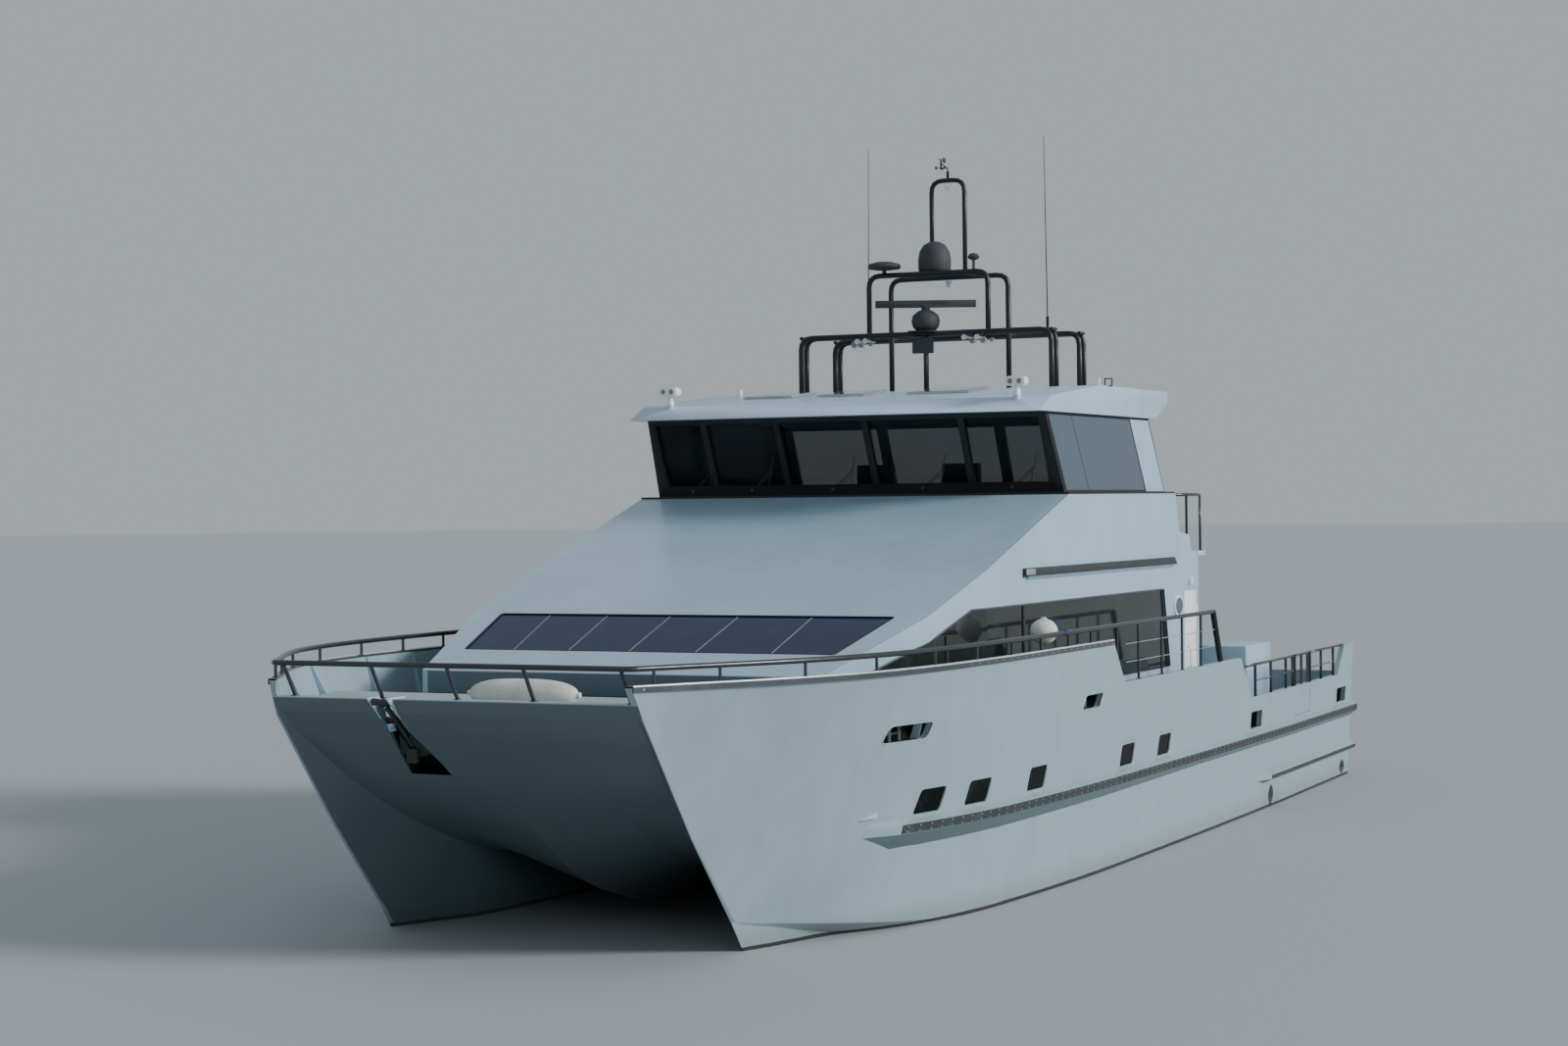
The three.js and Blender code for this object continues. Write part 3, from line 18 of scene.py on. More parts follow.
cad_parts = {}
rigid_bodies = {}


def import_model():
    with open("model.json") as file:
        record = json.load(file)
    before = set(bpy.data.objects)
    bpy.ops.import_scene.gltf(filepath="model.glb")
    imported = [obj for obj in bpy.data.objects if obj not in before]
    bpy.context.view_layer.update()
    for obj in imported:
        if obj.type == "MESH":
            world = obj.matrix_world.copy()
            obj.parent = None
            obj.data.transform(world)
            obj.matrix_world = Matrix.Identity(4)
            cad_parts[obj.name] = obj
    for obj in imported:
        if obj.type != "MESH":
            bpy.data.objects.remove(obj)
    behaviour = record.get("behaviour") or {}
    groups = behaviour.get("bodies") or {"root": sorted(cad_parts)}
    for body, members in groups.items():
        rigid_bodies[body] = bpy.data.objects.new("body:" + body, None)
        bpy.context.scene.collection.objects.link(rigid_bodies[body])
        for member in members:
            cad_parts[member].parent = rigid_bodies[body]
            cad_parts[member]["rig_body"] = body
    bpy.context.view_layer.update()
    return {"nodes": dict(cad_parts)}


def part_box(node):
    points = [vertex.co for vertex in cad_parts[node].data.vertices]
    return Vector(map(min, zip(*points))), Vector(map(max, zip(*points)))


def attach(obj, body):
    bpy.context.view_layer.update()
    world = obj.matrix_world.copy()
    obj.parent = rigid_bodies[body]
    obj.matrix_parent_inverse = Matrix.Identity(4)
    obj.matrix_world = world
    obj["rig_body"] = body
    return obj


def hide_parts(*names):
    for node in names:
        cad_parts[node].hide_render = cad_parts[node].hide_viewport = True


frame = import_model()

log = logging.getLogger("catamaran")
logging.basicConfig(level=logging.INFO, format="%(message)s")

Mesh = bmesh.types.BMesh
Point = Sequence[float]
Row = tuple[float, ...]
Outline = Sequence[tuple[float, float]]
Colour = tuple[float, float, float]

LENGTH = 21.85
HALF_LENGTH = 10.925
BEYOND = 5.0
CAP_Z, RAIL_Z = 2.88, 3.05
FRONT_EDGE_Z, FOREDECK, SIDE_DECK, MAIN_DECK = 2.7, 2.5, 2.0, 1.2
CABIN_HALF = 3.1
CABIN_PLAN = ((2.54, 3.45), (2.73, 4.24), (3.0, 5.31), (CABIN_HALF, 6.9), (CABIN_HALF, 15.26))
SMOOTH_ANGLE, FLAT_ANGLE = 38.0, 0.6
MERGE = 2e-5


def fwd(at: float) -> float:
    """Y in the frame of a station."""
    return at - HALF_LENGTH


def pt(x: float, at: float, z: float) -> Point:
    """The point in the frame at a station."""
    return (x, fwd(at), z)


def angles(count: int) -> list[float]:
    """Directions that share out a full turn."""
    return [2 * math.pi * k / count for k in range(count)]


def other_half(points: Sequence[Point]) -> list[Point]:
    """Port points mirrored to starboard, in reverse order."""
    return [(-x, y, z) for x, y, z in reversed(points)]


class Side(Enum):
    """The boat's two sides, as the sign of X."""

    PORT = 1
    STARBOARD = -1

    def named(self, name: str) -> str:
        """A name that ends in the side's."""
        return f"{name}_{self.name.lower()}"


def both(*names: str) -> tuple[str, ...]:
    """Names for each of the two sides."""
    return tuple(side.named(name) for name in names for side in Side)


# Shader graphs


class Sock:
    """A node socket on which arithmetic adds Math nodes."""

    def __init__(self, graph: "Graph", socket: bpy.types.NodeSocket) -> None:
        """Keeps the graph and the socket it stands for."""
        self.graph = graph
        self.socket = socket

    def __add__(self, other: object) -> "Sock":
        """Sum."""
        return self.graph.math("ADD", self, other)

    def __radd__(self, other: object) -> "Sock":
        """Sum, reflected."""
        return self.graph.math("ADD", other, self)

    def __sub__(self, other: object) -> "Sock":
        """Difference."""
        return self.graph.math("SUBTRACT", self, other)

    def __rsub__(self, other: object) -> "Sock":
        """Difference, reflected."""
        return self.graph.math("SUBTRACT", other, self)

    def __mul__(self, other: object) -> "Sock":
        """Product."""
        return self.graph.math("MULTIPLY", self, other)

    def __rmul__(self, other: object) -> "Sock":
        """Product, reflected."""
        return self.graph.math("MULTIPLY", other, self)

    def __truediv__(self, other: object) -> "Sock":
        """Quotient."""
        return self.graph.math("DIVIDE", self, other)

    def over(self, low: float, high: float) -> "Sock":
        """A smooth step from 0 at low to 1 at high."""
        return self.graph.node("ShaderNodeMapRange", {"interpolation_type": "SMOOTHSTEP"},
                               {"Value": self, "From Min": low, "From Max": high})


class Graph:
    """One material's node tree."""

    def __init__(self, name: str) -> None:
        """Starts an empty node material of that name."""
        self.material = bpy.data.materials.new(name)
        self.material.use_nodes = True
        self.tree = self.material.node_tree
        self.tree.nodes.clear()

    def add(self, kind: str, settings: dict, values: dict) -> bpy.types.Node:
        """Adds a node.

        Args:
            kind: the node's type name.
            settings: properties that are set first.
            values: numbers, colours or links of its input sockets, by name or index.

        Returns:
            The new node.
        """
        made = self.tree.nodes.new(kind)
        for key, value in settings.items():
            setattr(made, key, value)
        for key, value in values.items():
            if isinstance(value, Sock):
                self.tree.links.new(value.socket, made.inputs[key])
            else:
                made.inputs[key].default_value = value
        return made

    def node(self, kind: str, settings: dict, values: dict, output: object = 0) -> Sock:
        """One output of a node that is added."""
        return Sock(self, self.add(kind, settings, values).outputs[output])

    def math(self, operation: str, a: object, b: object) -> Sock:
        """A Math node of two values."""
        return self.node("ShaderNodeMath", {"operation": operation}, {0: a, 1: b})

    @cached_property
    def place(self) -> Sock:
        """Object coordinates."""
        return self.node("ShaderNodeTexCoord", {}, {}, "Object")

    def axis(self, index: int) -> Sock:
        """One of the object coordinates, 0 to 2."""
        return self.node("ShaderNodeSeparateXYZ", {}, {0: self.place}, index)

    def stretched(self, scale: Point) -> Sock:
        """Object coordinates, scaled on each axis."""
        return self.node("ShaderNodeMapping", {}, {"Vector": self.place, "Scale": scale})

    def noise(self, scale: float, detail: float = 3.0, vector: Optional[Sock] = None) -> Sock:
        """Cloudy values about 0.5."""
        return self.node("ShaderNodeTexNoise", {}, {
            "Vector": vector or self.place, "Scale": scale, "Detail": detail, "Roughness": 0.55})

    def cells(self, scale: float) -> Sock:
        """Distance to the nearest of scattered points."""
        return self.node("ShaderNodeTexVoronoi", {}, {"Vector": self.place, "Scale": scale})

    def wave(self, scale: float, direction: str) -> Sock:
        """Parallel bands."""
        return self.node("ShaderNodeTexWave", {"bands_direction": direction}, {
            "Vector": self.place, "Scale": scale, "Distortion": 0.0}, 1)

    def blend(self, share: object, first: object, second: object) -> Sock:
        """A mix of two colours."""
        return self.node("ShaderNodeMix", {"data_type": "RGBA"},
                         {0: share, 6: first, 7: second}, 2)

    def bump(self, height: Sock, strength: float, distance: float) -> Sock:
        """A bumped normal."""
        return self.node("ShaderNodeBump", {}, {
            "Height": height, "Strength": strength, "Distance": distance})

    def surface(self, values: dict) -> bpy.types.Material:
        """Ends the graph in a Principled shader with these numbers, colours or links."""
        shader = self.node("ShaderNodeBsdfPrincipled", {}, values)
        self.add("ShaderNodeOutputMaterial", {}, {0: shader})
        return self.material


# Finishes


def rgba(colour: Colour, gain: float = 1.0) -> Row:
    """A colour with full alpha, made lighter or darker by a gain."""
    return (*(channel * gain for channel in colour), 1.0)


@dataclass(frozen=True)
class Finish:
    """A surface finish that makes its material once."""

    name: str
    slot: str
    colour: Colour
    roughness: float

    def material(self) -> bpy.types.Material:
        """The finish's material, made at first use."""
        return bpy.data.materials.get(self.name) or self.make(Graph(self.name))

    def make(self, graph: Graph) -> bpy.types.Material:
        """Builds the material in a new graph; each kind of finish has its own."""
        raise NotImplementedError

    def toned(self, graph: Graph, share: Sock, first: float, second: float) -> Sock:
        """The finish's colour, from one gain to another."""
        return graph.blend(share, rgba(self.colour, first), rgba(self.colour, second))


@dataclass(frozen=True)
class TopsidePaint(Finish):
    """Satin paint on welded plate: slight clouding, rain streaks, wear near the water, and painted
    shade where it is asked for.
    """

    # Turns on the waterline marks and, with them, the painted shade between the stems and in the
    # anchor's pocket.
    waterline: bool = False
    # Height below which the paint is darkened as painted shade, under a bar or a panel's lip.
    stained_below: Optional[float] = None

    DAMP, BOOT_TOP = (0.34, 0.08), (0.052, 0.046)
    # Colours of painted shade: below a set height, between the stems and in the anchor's pocket.
    # The scum line and antifouling are the paint's own.
    STAIN, SCUM, ANTIFOULING = (0.022, 0.050, 0.058), (0.16, 0.17, 0.14), (0.018, 0.020, 0.022)
    SHADE, HOLLOW = (0.026, 0.056, 0.062), (0.012, 0.015, 0.017)
    STEM, STEM_FADE = 2.158, 2.146
    RAKE_AT, RAKE_Z, RAKE = 0.17, 2.548, 0.871

    def make(self, graph: Graph) -> bpy.types.Material:
        """Clouded paint, with antifouling, a scum line and painted shade where they are asked for.
        """
        streak = graph.noise(1.0, 3.0, graph.stretched((5.0, 5.0, 0.35)))
        tone = graph.noise(0.9, 4.0) * 0.6 + streak * 0.4
        colour = self.toned(graph, tone.over(0.3, 0.7), 0.93, 1.05)
        rough = tone * 0.12 + (self.roughness - 0.06)
        if self.stained_below is not None:
            # Painted shade below the set height, under a rail's bar or the lip of the cabin's front
            # panel.
            stain = graph.axis(2).over(self.stained_below, self.stained_below - 0.006)
            colour = graph.blend(stain * (tone * 0.2 + 0.68), colour, rgba(self.STAIN))
        if self.waterline:
            height = graph.axis(2) + graph.noise(2.5, 3.0) * 0.012
            colour = graph.blend(height.over(*self.DAMP) * 0.35, colour, rgba(self.SCUM))
            below = height.over(*self.BOOT_TOP)
            colour = graph.blend(below, colour, rgba(self.ANTIFOULING))
            rough = rough + below * 0.3
            colour = self.shaded(graph, tone, colour)
        plate = graph.noise(1.4, 2.0) * 0.8 + graph.noise(160.0, 2.0) * 0.02
        return graph.surface({
            "Base Color": colour, "Roughness": rough, "Normal": graph.bump(plate, 0.16, 0.02),
            "Coat Weight": 0.25, "Coat Roughness": 0.22})

    def shaded(self, graph: Graph, tone: Sock, colour: Sock) -> Sock:
        """Paints shade on the faces between the stems that look forward and down, and deeper
        painted shade in the anchor's pocket.

        Args:
            graph: the material's graph.
            tone: its clouding.
            colour: its colour so far.

        Returns:
            The colour with its shade.
        """
        x, y, z = (graph.axis(k) for k in range(3))
        behind = y - fwd(self.RAKE_AT) + (z - self.RAKE_Z) / self.RAKE
        between = (x.over(-self.STEM, -self.STEM_FADE) * x.over(self.STEM, self.STEM_FADE)
                   * y.over(fwd(14.5), fwd(13.5)))
        face = behind.over(0.15, 0.13) * z.over(2.695, 2.685)
        under = between * graph.math("MAXIMUM", face, z.over(2.12, 2.10))
        colour = graph.blend(under * (tone * 0.15 + 0.68), colour, rgba(self.SHADE))
        # Deepest painted shade, inside the anchor's pocket.
        width = x.over(-1.09, -1.08) * x.over(-0.50, -0.51)
        shaded_recess = (behind.over(0.02, 0.04) * width * z.over(2.49, 2.48) * z.over(1.82, 1.83)
                  * y.over(fwd(1.4), fwd(1.39)))
        return graph.blend(shaded_recess, colour, rgba(self.HOLLOW))


@dataclass(frozen=True)
class Rubber(Finish):
    """Moulded rubber: dull, scuffed lighter on its proud parts."""

    def make(self, graph: Graph) -> bpy.types.Material:
        """Scuffed dark rubber."""
        scuff = (graph.noise(7.0, 5.0) * 0.6 + graph.noise(40.0, 3.0) * 0.4).over(0.45, 0.68)
        return graph.surface({
            "Base Color": self.toned(graph, scuff, 1.0, 1.8),
            "Roughness": scuff * 0.15 + self.roughness,
            "Normal": graph.bump(graph.noise(260.0, 2.0), 0.15, 0.002)})


@dataclass(frozen=True)
class Metal(Finish):
    """Bare or coated metal."""

    metallic: float = 1.0
    coat: float = 0.0

    def make(self, graph: Graph) -> bpy.types.Material:
        """Metal with fine grain and uneven gloss."""
        smear = graph.noise(5.0, 4.0)
        grain = graph.noise(120.0, 2.0, graph.stretched((1.0, 0.15, 1.0)))
        return graph.surface({
            "Base Color": self.toned(graph, smear.over(0.3, 0.75), 0.88, 1.1),
            "Metallic": self.metallic, "Roughness": smear * 0.15 + (self.roughness - 0.07),
            "Coat Weight": self.coat, "Coat Roughness": 0.1,
            "Normal": graph.bump(grain, 0.06, 0.001)})


@dataclass(frozen=True)
class Plastic(Finish):
    """Moulded plastic or gelcoat with a faint grain."""

    coat: float = 0.0

    def make(self, graph: Graph) -> bpy.types.Material:
        """Lightly clouded plastic."""
        cloud = graph.noise(4.0, 4.0)
        return graph.surface({
            "Base Color": self.toned(graph, cloud.over(0.35, 0.7), 0.92, 1.04),
            "Roughness": cloud * 0.1 + (self.roughness - 0.05),
            "Coat Weight": self.coat, "Coat Roughness": 0.08,
            "Normal": graph.bump(graph.noise(300.0, 2.0), 0.05, 0.001)})


@dataclass(frozen=True)
class Glass(Finish):
    """Tinted window glass."""

    shine: float = 0.5
    alpha: float = 1.0

    DUST = (0.16, 0.19, 0.22)

    def make(self, graph: Graph) -> bpy.types.Material:
        """Dark glossy pane, a little wavy, with dust here and there."""
        dust = graph.noise(3.0, 4.0).over(0.5, 0.8)
        return graph.surface({
            "Base Color": graph.blend(dust * 0.08, rgba(self.colour), rgba(self.DUST)),
            "Roughness": dust * 0.05 + self.roughness, "Alpha": self.alpha, "IOR": 1.52,
            "Specular IOR Level": self.shine,
            "Normal": graph.bump(graph.noise(0.8, 1.0), 0.03, 0.02)})


@dataclass(frozen=True)
class Cloth(Finish):
    """Woven or coated fabric."""

    weave: float = 420.0

    def make(self, graph: Graph) -> bpy.types.Material:
        """Weave in two directions over a soft stain."""
        stain = graph.noise(6.0, 5.0)
        threads = graph.wave(self.weave, "X") * 0.5 + graph.wave(self.weave, "Z") * 0.5
        return graph.surface({
            "Base Color": self.toned(graph, stain.over(0.45, 0.75), 1.0, 0.82),
            "Roughness": self.roughness, "Normal": graph.bump(threads + stain * 0.4, 0.2, 0.002)})


@dataclass(frozen=True)
class SolarCell(Finish):
    """Dark cells under glass with a fine silver grid."""

    bands: float = 3.2

    SILVER = (0.4, 0.42, 0.45)

    def make(self, graph: Graph) -> bpy.types.Material:
        """Cell grid on two axes."""
        lines = graph.math("MAXIMUM", *(
            graph.wave(self.bands, axis).over(0.97, 0.99) for axis in "XY"))
        return graph.surface({
            "Base Color": graph.blend(lines, rgba(self.colour), rgba(self.SILVER)),
            "Roughness": lines * 0.2 + self.roughness, "Coat Weight": 1.0, "Coat Roughness": 0.05})


@dataclass(frozen=True)
class DeckPaint(Finish):
    """Non-slip deck paint."""

    def make(self, graph: Graph) -> bpy.types.Material:
        """Gritty paint, worn where people walk."""
        wear = graph.noise(1.6, 5.0).over(0.4, 0.7)
        return graph.surface({
            "Base Color": self.toned(graph, wear, 1.0, 0.86),
            "Roughness": wear * 0.1 + self.roughness,
            "Normal": graph.bump(graph.cells(220.0), 0.35, 0.002)})


TOPSIDE, CABIN_BLUE = (0.285, 0.395, 0.435), (0.370, 0.530, 0.645)


class Paints:
    """The boat's finishes."""

    HULL = TopsidePaint("topside_paint", "hull_paint", TOPSIDE, 0.38, waterline=True)
    # The bars and the cabin's front carry painted shade below a set height.
    BAR = TopsidePaint("rub_rail_paint", "hull_paint", TOPSIDE, 0.38, stained_below=1.083)
    LOW_BAR = TopsidePaint("lower_rail_paint", "hull_paint", TOPSIDE, 0.38, stained_below=0.450)
    CABIN = TopsidePaint("cabin_paint", "hull_paint", CABIN_BLUE, 0.36)
    FRONT = TopsidePaint("cabin_front_paint", "hull_paint", CABIN_BLUE, 0.36, stained_below=2.752)
    ROOF = TopsidePaint("roof_paint", "light_paint", (0.430, 0.585, 0.735), 0.36)
    DECK = DeckPaint("deck_paint", "light_paint", (0.36, 0.43, 0.46), 0.62)
    RUBBER = Rubber("fender_rubber", "black_plastic", (0.026, 0.033, 0.036), 0.62)
    SEAL = Rubber("window_seal", "black_plastic", (0.010, 0.010, 0.011), 0.55)
    CAP = Metal("cap_metal", "dark_metal", (0.085, 0.098, 0.112), 0.32, 0.55, 0.2)
    COATED = Metal("dark_coat", "dark_metal", (0.006, 0.007, 0.008), 0.45, 0.0, 0.05)
    RAIL = Metal("rail_metal", "dark_metal", (0.055, 0.060, 0.066), 0.30, 0.6, 0.2)
    TRIM = Metal("bronzed_trim", "dark_metal", (0.095, 0.100, 0.115), 0.42, 0.5)
    STEEL = Metal("steel", "steel", (0.60, 0.61, 0.62), 0.28)
    ALLOY = Metal("alloy", "steel", (0.50, 0.53, 0.55), 0.42, 0.8)
    ANCHOR = Metal("galvanised", "steel", (0.045, 0.060, 0.052), 0.5, 0.6)
    # Pale steel that paints the highlight along the cap's top edge.
    BEAD = Metal("polished_bead", "steel", (0.80, 0.82, 0.85), 0.30, 0.35, 0.3)
    BRONZE = Metal("bronze", "bronze", (0.46, 0.31, 0.15), 0.36)
    IRON = Metal("engine_enamel", "engine", (0.20, 0.22, 0.23), 0.5, 0.2)
    LENS = Plastic("lamp_lens", "white_plastic", (0.22, 0.24, 0.26), 0.15, 0.8)
    GELCOAT = Plastic("gelcoat", "white_plastic", (0.91, 0.92, 0.93), 0.35, 0.3)
    BLACK = Plastic("black_plastic", "black_plastic", (0.012, 0.013, 0.015), 0.4)
    LEATHER = Plastic("seat_leather", "black_plastic", (0.030, 0.030, 0.033), 0.5)
    NAVY_GLASS = Glass("navy_glass", "glass", (0.004, 0.018, 0.065), 0.07, 0.10)
    SALON_GLASS = Glass("salon_glass", "glass", (0.016, 0.019, 0.018), 0.05, 0.4)
    HULL_GLASS = Glass("hull_glass", "glass", (0.003, 0.004, 0.004), 0.08, 0.06)
    SIDE_GLASS = Glass("wheelhouse_glass", "glass", (0.075, 0.110, 0.145), 0.05, alpha=0.92)
    CLEAR_GLASS = Glass("clear_glass", "glass", (0.006, 0.009, 0.012), 0.04, 0.25, 0.45)
    FENDER = Cloth("fender_cover", "fabric", (0.70, 0.70, 0.67), 0.8)
    ROPE = Cloth("lashing", "fabric", (0.02, 0.05, 0.22), 0.85, weave=900.0)
    SOLAR = SolarCell("solar_cells", "black_plastic", (0.006, 0.010, 0.025), 0.25)


# Mesh making


def ring(bm: Mesh, points: Iterable[Point], closed: bool = True) -> list:
    """Adds a loop of edges through points.

    Args:
        bm: the mesh being made.
        points: the loop's corners in order.
        closed: whether the last joins the first.

    Returns:
        The loop's edges.
    """
    verts = [bm.verts.new(p) for p in points]
    ends = verts[1:] + verts[:1] if closed else verts[1:]
    return [bm.edges.new(edge) for edge in zip(verts, ends)]


def loft(sections: Iterable[Iterable[Point]], capped: bool = True) -> Mesh:
    """Bridges closed sections in order.

    Args:
        sections: rings with the same number of points.
        capped: whether the two ends are filled.

    Returns:
        A new mesh.
    """
    bm = bmesh.new()
    loops = [ring(bm, section) for section in sections]
    for first, second in zip(loops, loops[1:]):
        bmesh.ops.bridge_loops(bm, edges=first + second)
    for loop in (loops[0], loops[-1]) if capped else ():
        bmesh.ops.contextual_create(bm, geom=loop)
    bmesh.ops.recalc_face_normals(bm, faces=bm.faces)
    return bm


def joined(parts: Iterable[Mesh]) -> Mesh:
    """Puts several meshes in one.

    Args:
        parts: the meshes; they are freed.

    Returns:
        A new mesh.
    """
    whole = bmesh.new()
    for part in parts:
        mesh = bpy.data.meshes.new("part")
        part.to_mesh(mesh)
        part.free()
        whole.from_mesh(mesh)
        bpy.data.meshes.remove(mesh)
    return whole


def mirrored(bm: Mesh) -> Mesh:
    """A copy on the other side of the boat, with its faces outwards."""
    other = bm.copy()
    bmesh.ops.scale(other, vec=(-1, 1, 1), verts=other.verts)
    bmesh.ops.reverse_faces(other, faces=other.faces)
    return other


def on_side(bm: Mesh, side: Side) -> Mesh:
    """Moves a mesh made for port to a side.

    Args:
        bm: the mesh; it is freed where a mirrored one takes its place.
        side: the side.

    Returns:
        The mesh on that side.
    """
    if side is Side.PORT:
        return bm
    other = mirrored(bm)
    bm.free()
    return other


def bevel(bm: Mesh, edges: Iterable[bmesh.types.BMEdge], width: float) -> None:
    """Rounds edges by a width."""
    bmesh.ops.bevel(bm, geom=list(edges), offset=width, offset_type="OFFSET", segments=2,
                    profile=0.5, affect="EDGES", clamp_overlap=True, material=-1)


def box(low: Point, high: Point, round_by: float = 0.0) -> Mesh:
    """A block with its edges rounded.

    Args:
        low: its lowest corner, as X, station and height.
        high: its highest corner.
        round_by: bevel width.

    Returns:
        A new mesh.
    """
    bm = bmesh.new()
    bmesh.ops.create_cube(bm, size=1.0)
    spans = list(zip(pt(*low), pt(*high)))
    bmesh.ops.scale(bm, vec=[b - a for a, b in spans], verts=bm.verts)
    bmesh.ops.translate(bm, vec=[(b + a) / 2 for a, b in spans], verts=bm.verts)
    if round_by > 0:
        bevel(bm, bm.edges, round_by)
    return bm


def frames_along(points: Sequence[Vector], closed: bool) -> list[tuple[Vector, Vector]]:
    """Two steady cross directions at each point of a path.

    Args:
        points: the path.
        closed: whether it closes on itself.

    Returns:
        The pairs of directions.
    """
    count = len(points)
    out: list[tuple[Vector, Vector]] = []
    side = None
    for i, here in enumerate(points):
        before = points[i - 1] if closed or i else here
        after = points[(i + 1) % count] if closed or i + 1 < count else here
        along = (after - before).normalized()
        if side is None:
            side = along.orthogonal().normalized()
        side = (side - along * side.dot(along)).normalized()
        out.append((side, along.cross(side)))
    return out


def tube(path: Iterable[Point], radius: float, sides: int = 10, closed: bool = False,
         flat: float = 1.0) -> Mesh:
    """A round bar along a path.

    Args:
        path: points of its centre line.
        radius: half its thickness.
        sides: corners of its section.
        closed: whether it closes on itself.
        flat: how much its second cross direction is scaled.

    Returns:
        A new mesh.
    """
    points = [Vector(p) for p in path]
    bm = loft([[centre + u * (radius * math.cos(a)) + v * (radius * flat * math.sin(a))
                for a in angles(sides)]
               for centre, (u, v) in zip(points, frames_along(points, closed))], not closed)
    if closed:
        bmesh.ops.bridge_loops(bm, edges=[e for e in bm.edges if e.is_boundary])
        bmesh.ops.recalc_face_normals(bm, faces=bm.faces)
    return bm


def arc(before: Vector, here: Vector, after: Vector, reach: float, steps: int = 6) -> list[Vector]:
    """Rounds a corner.

    Args:
        before: the corner before it.
        here: the corner itself.
        after: the corner after it.
        reach: how far from the corner the curve starts and ends.
        steps: how many parts the curve has.

    Returns:
        The curve's points, with both ends.
    """
    start = here + (before - here).normalized() * reach
    stop = here + (after - here).normalized() * reach
    return [start * (1 - t) ** 2 + here * (2 * t * (1 - t)) + stop * t ** 2
            for t in (k / steps for k in range(steps + 1))]


def bent(corners: Iterable[Point], radius: float) -> list[Vector]:
    """A line through corners, each inner one rounded as far as the radius and its room allow."""
    spots = [Vector(c) for c in corners]
    out = [spots[0]]
    for before, here, after in zip(spots, spots[1:], spots[2:]):
        room = 0.45 * min((before - here).length, (after - here).length)
        out += arc(before, here, after, min(radius, room))
    return [*out, spots[-1]]


def turned(profile: Outline, centre: Point, axis: Point = (0, 0, 1), steps: int = 24) -> Mesh:
    """A turned shape.

    Args:
        profile: its half section as (radius, height).
        centre: where height 0 stands.
        axis: the direction of its height.
        steps: how many parts a turn has.

    Returns:
        A new mesh.
    """
    bm = bmesh.new()
    edges = ring(bm, [(r, 0.0, h) for r, h in profile], closed=False)
    bmesh.ops.spin(bm, geom=[*bm.verts, *edges], cent=(0, 0, 0), axis=(0, 0, 1), dvec=(0, 0, 0),
                   angle=2 * math.pi, steps=steps, use_merge=True)
    bmesh.ops.remove_doubles(bm, verts=bm.verts, dist=1e-6)
    bmesh.ops.recalc_face_normals(bm, faces=bm.faces)
    turn = Vector((0, 0, 1)).rotation_difference(Vector(axis).normalized()).to_matrix().to_4x4()
    bmesh.ops.transform(bm, matrix=Matrix.Translation(centre) @ turn, verts=bm.verts)
    return bm


def prism(outline: Iterable[Point], push: Point, round_by: float = 0.0) -> Mesh:
    """A flat outline pushed along a vector.

    Args:
        outline: its corners in order.
        push: the vector.
        round_by: bevel width.

    Returns:
        A new mesh.
    """
    bm = bmesh.new()
    face = bmesh.ops.contextual_create(bm, geom=ring(bm, outline))["faces"]
    made = bmesh.ops.extrude_face_region(bm, geom=face)["geom"]
    bmesh.ops.translate(bm, vec=push, verts=[g for g in made if isinstance(g, bmesh.types.BMVert)])
    bmesh.ops.recalc_face_normals(bm, faces=bm.faces)
    if round_by > 0:
        bevel(bm, bm.edges, round_by)
    return bm


def across(outline: Outline, x0: float, x1: float) -> Mesh:
    """An outline of (station, z) pushed from x0 to x1."""
    return prism([pt(x0, at, z) for at, z in outline], (x1 - x0, 0, 0))


def linked(name: str, data: bpy.types.ID) -> bpy.types.Object:
    """A new object in the scene."""
    obj = bpy.data.objects.new(name, data)
    bpy.context.scene.collection.objects.link(obj)
    return obj


def loose(name: str, bm: Mesh) -> bpy.types.Object:
    """A new object that isn't a piece yet, of a mesh that is freed."""
    mesh = bpy.data.meshes.new(name)
    bm.to_mesh(mesh)
    bm.free()
    return linked(name, mesh)


def taken(obj: bpy.types.Object) -> Mesh:
    """A loose object's mesh; the object goes."""
    bm = bmesh.new()
    bm.from_mesh(obj.data)
    bpy.data.objects.remove(obj)
    return bm


def carve(target: bpy.types.Object, cutter: Mesh, operation: str = "DIFFERENCE") -> None:
    """Applies a boolean to a loose object's mesh.

    Args:
        target: the object that changes.
        cutter: the other solid; it is freed.
        operation: DIFFERENCE or INTERSECT.
    """
    tool = loose("cutter", cutter)
    modifier = target.modifiers.new("carve", "BOOLEAN")
    modifier.operation = operation
    modifier.solver = "MANIFOLD"
    modifier.object = tool
    bpy.context.view_layer.update()
    result = bpy.data.meshes.new_from_object(
        target.evaluated_get(bpy.context.evaluated_depsgraph_get()))
    target.modifiers.clear()
    old = target.data
    target.data = result
    bpy.data.meshes.remove(old)
    bpy.data.objects.remove(tool)


@dataclass
class Piece:
    """A finished mesh object that rides on a body."""

    name: str
    finish: Finish
    body: str = "boat"
    sharp: float = SMOOTH_ANGLE
    stands_for: tuple[str, ...] = ()

    def put(self, *parts: Mesh) -> bpy.types.Object:
        """Turns meshes into the piece, smooth in shading up to its sharp edges.

        Args:
            parts: its meshes in the frame; they are freed.

        Returns:
            The new object.
        """
        obj = loose(self.name, joined(parts))
        faces = obj.data.polygons
        faces.foreach_set("use_smooth", [True] * len(faces))
        obj.data.set_sharp_from_angle(angle=math.radians(self.sharp))
        obj.data.update()
        obj.data.materials.append(self.finish.material())
        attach(obj, self.body)
        if self.stands_for:
            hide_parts(*self.stands_for)
        log.info("piece %s: %d faces on %s", self.name, len(obj.data.polygons), self.body)
        return obj


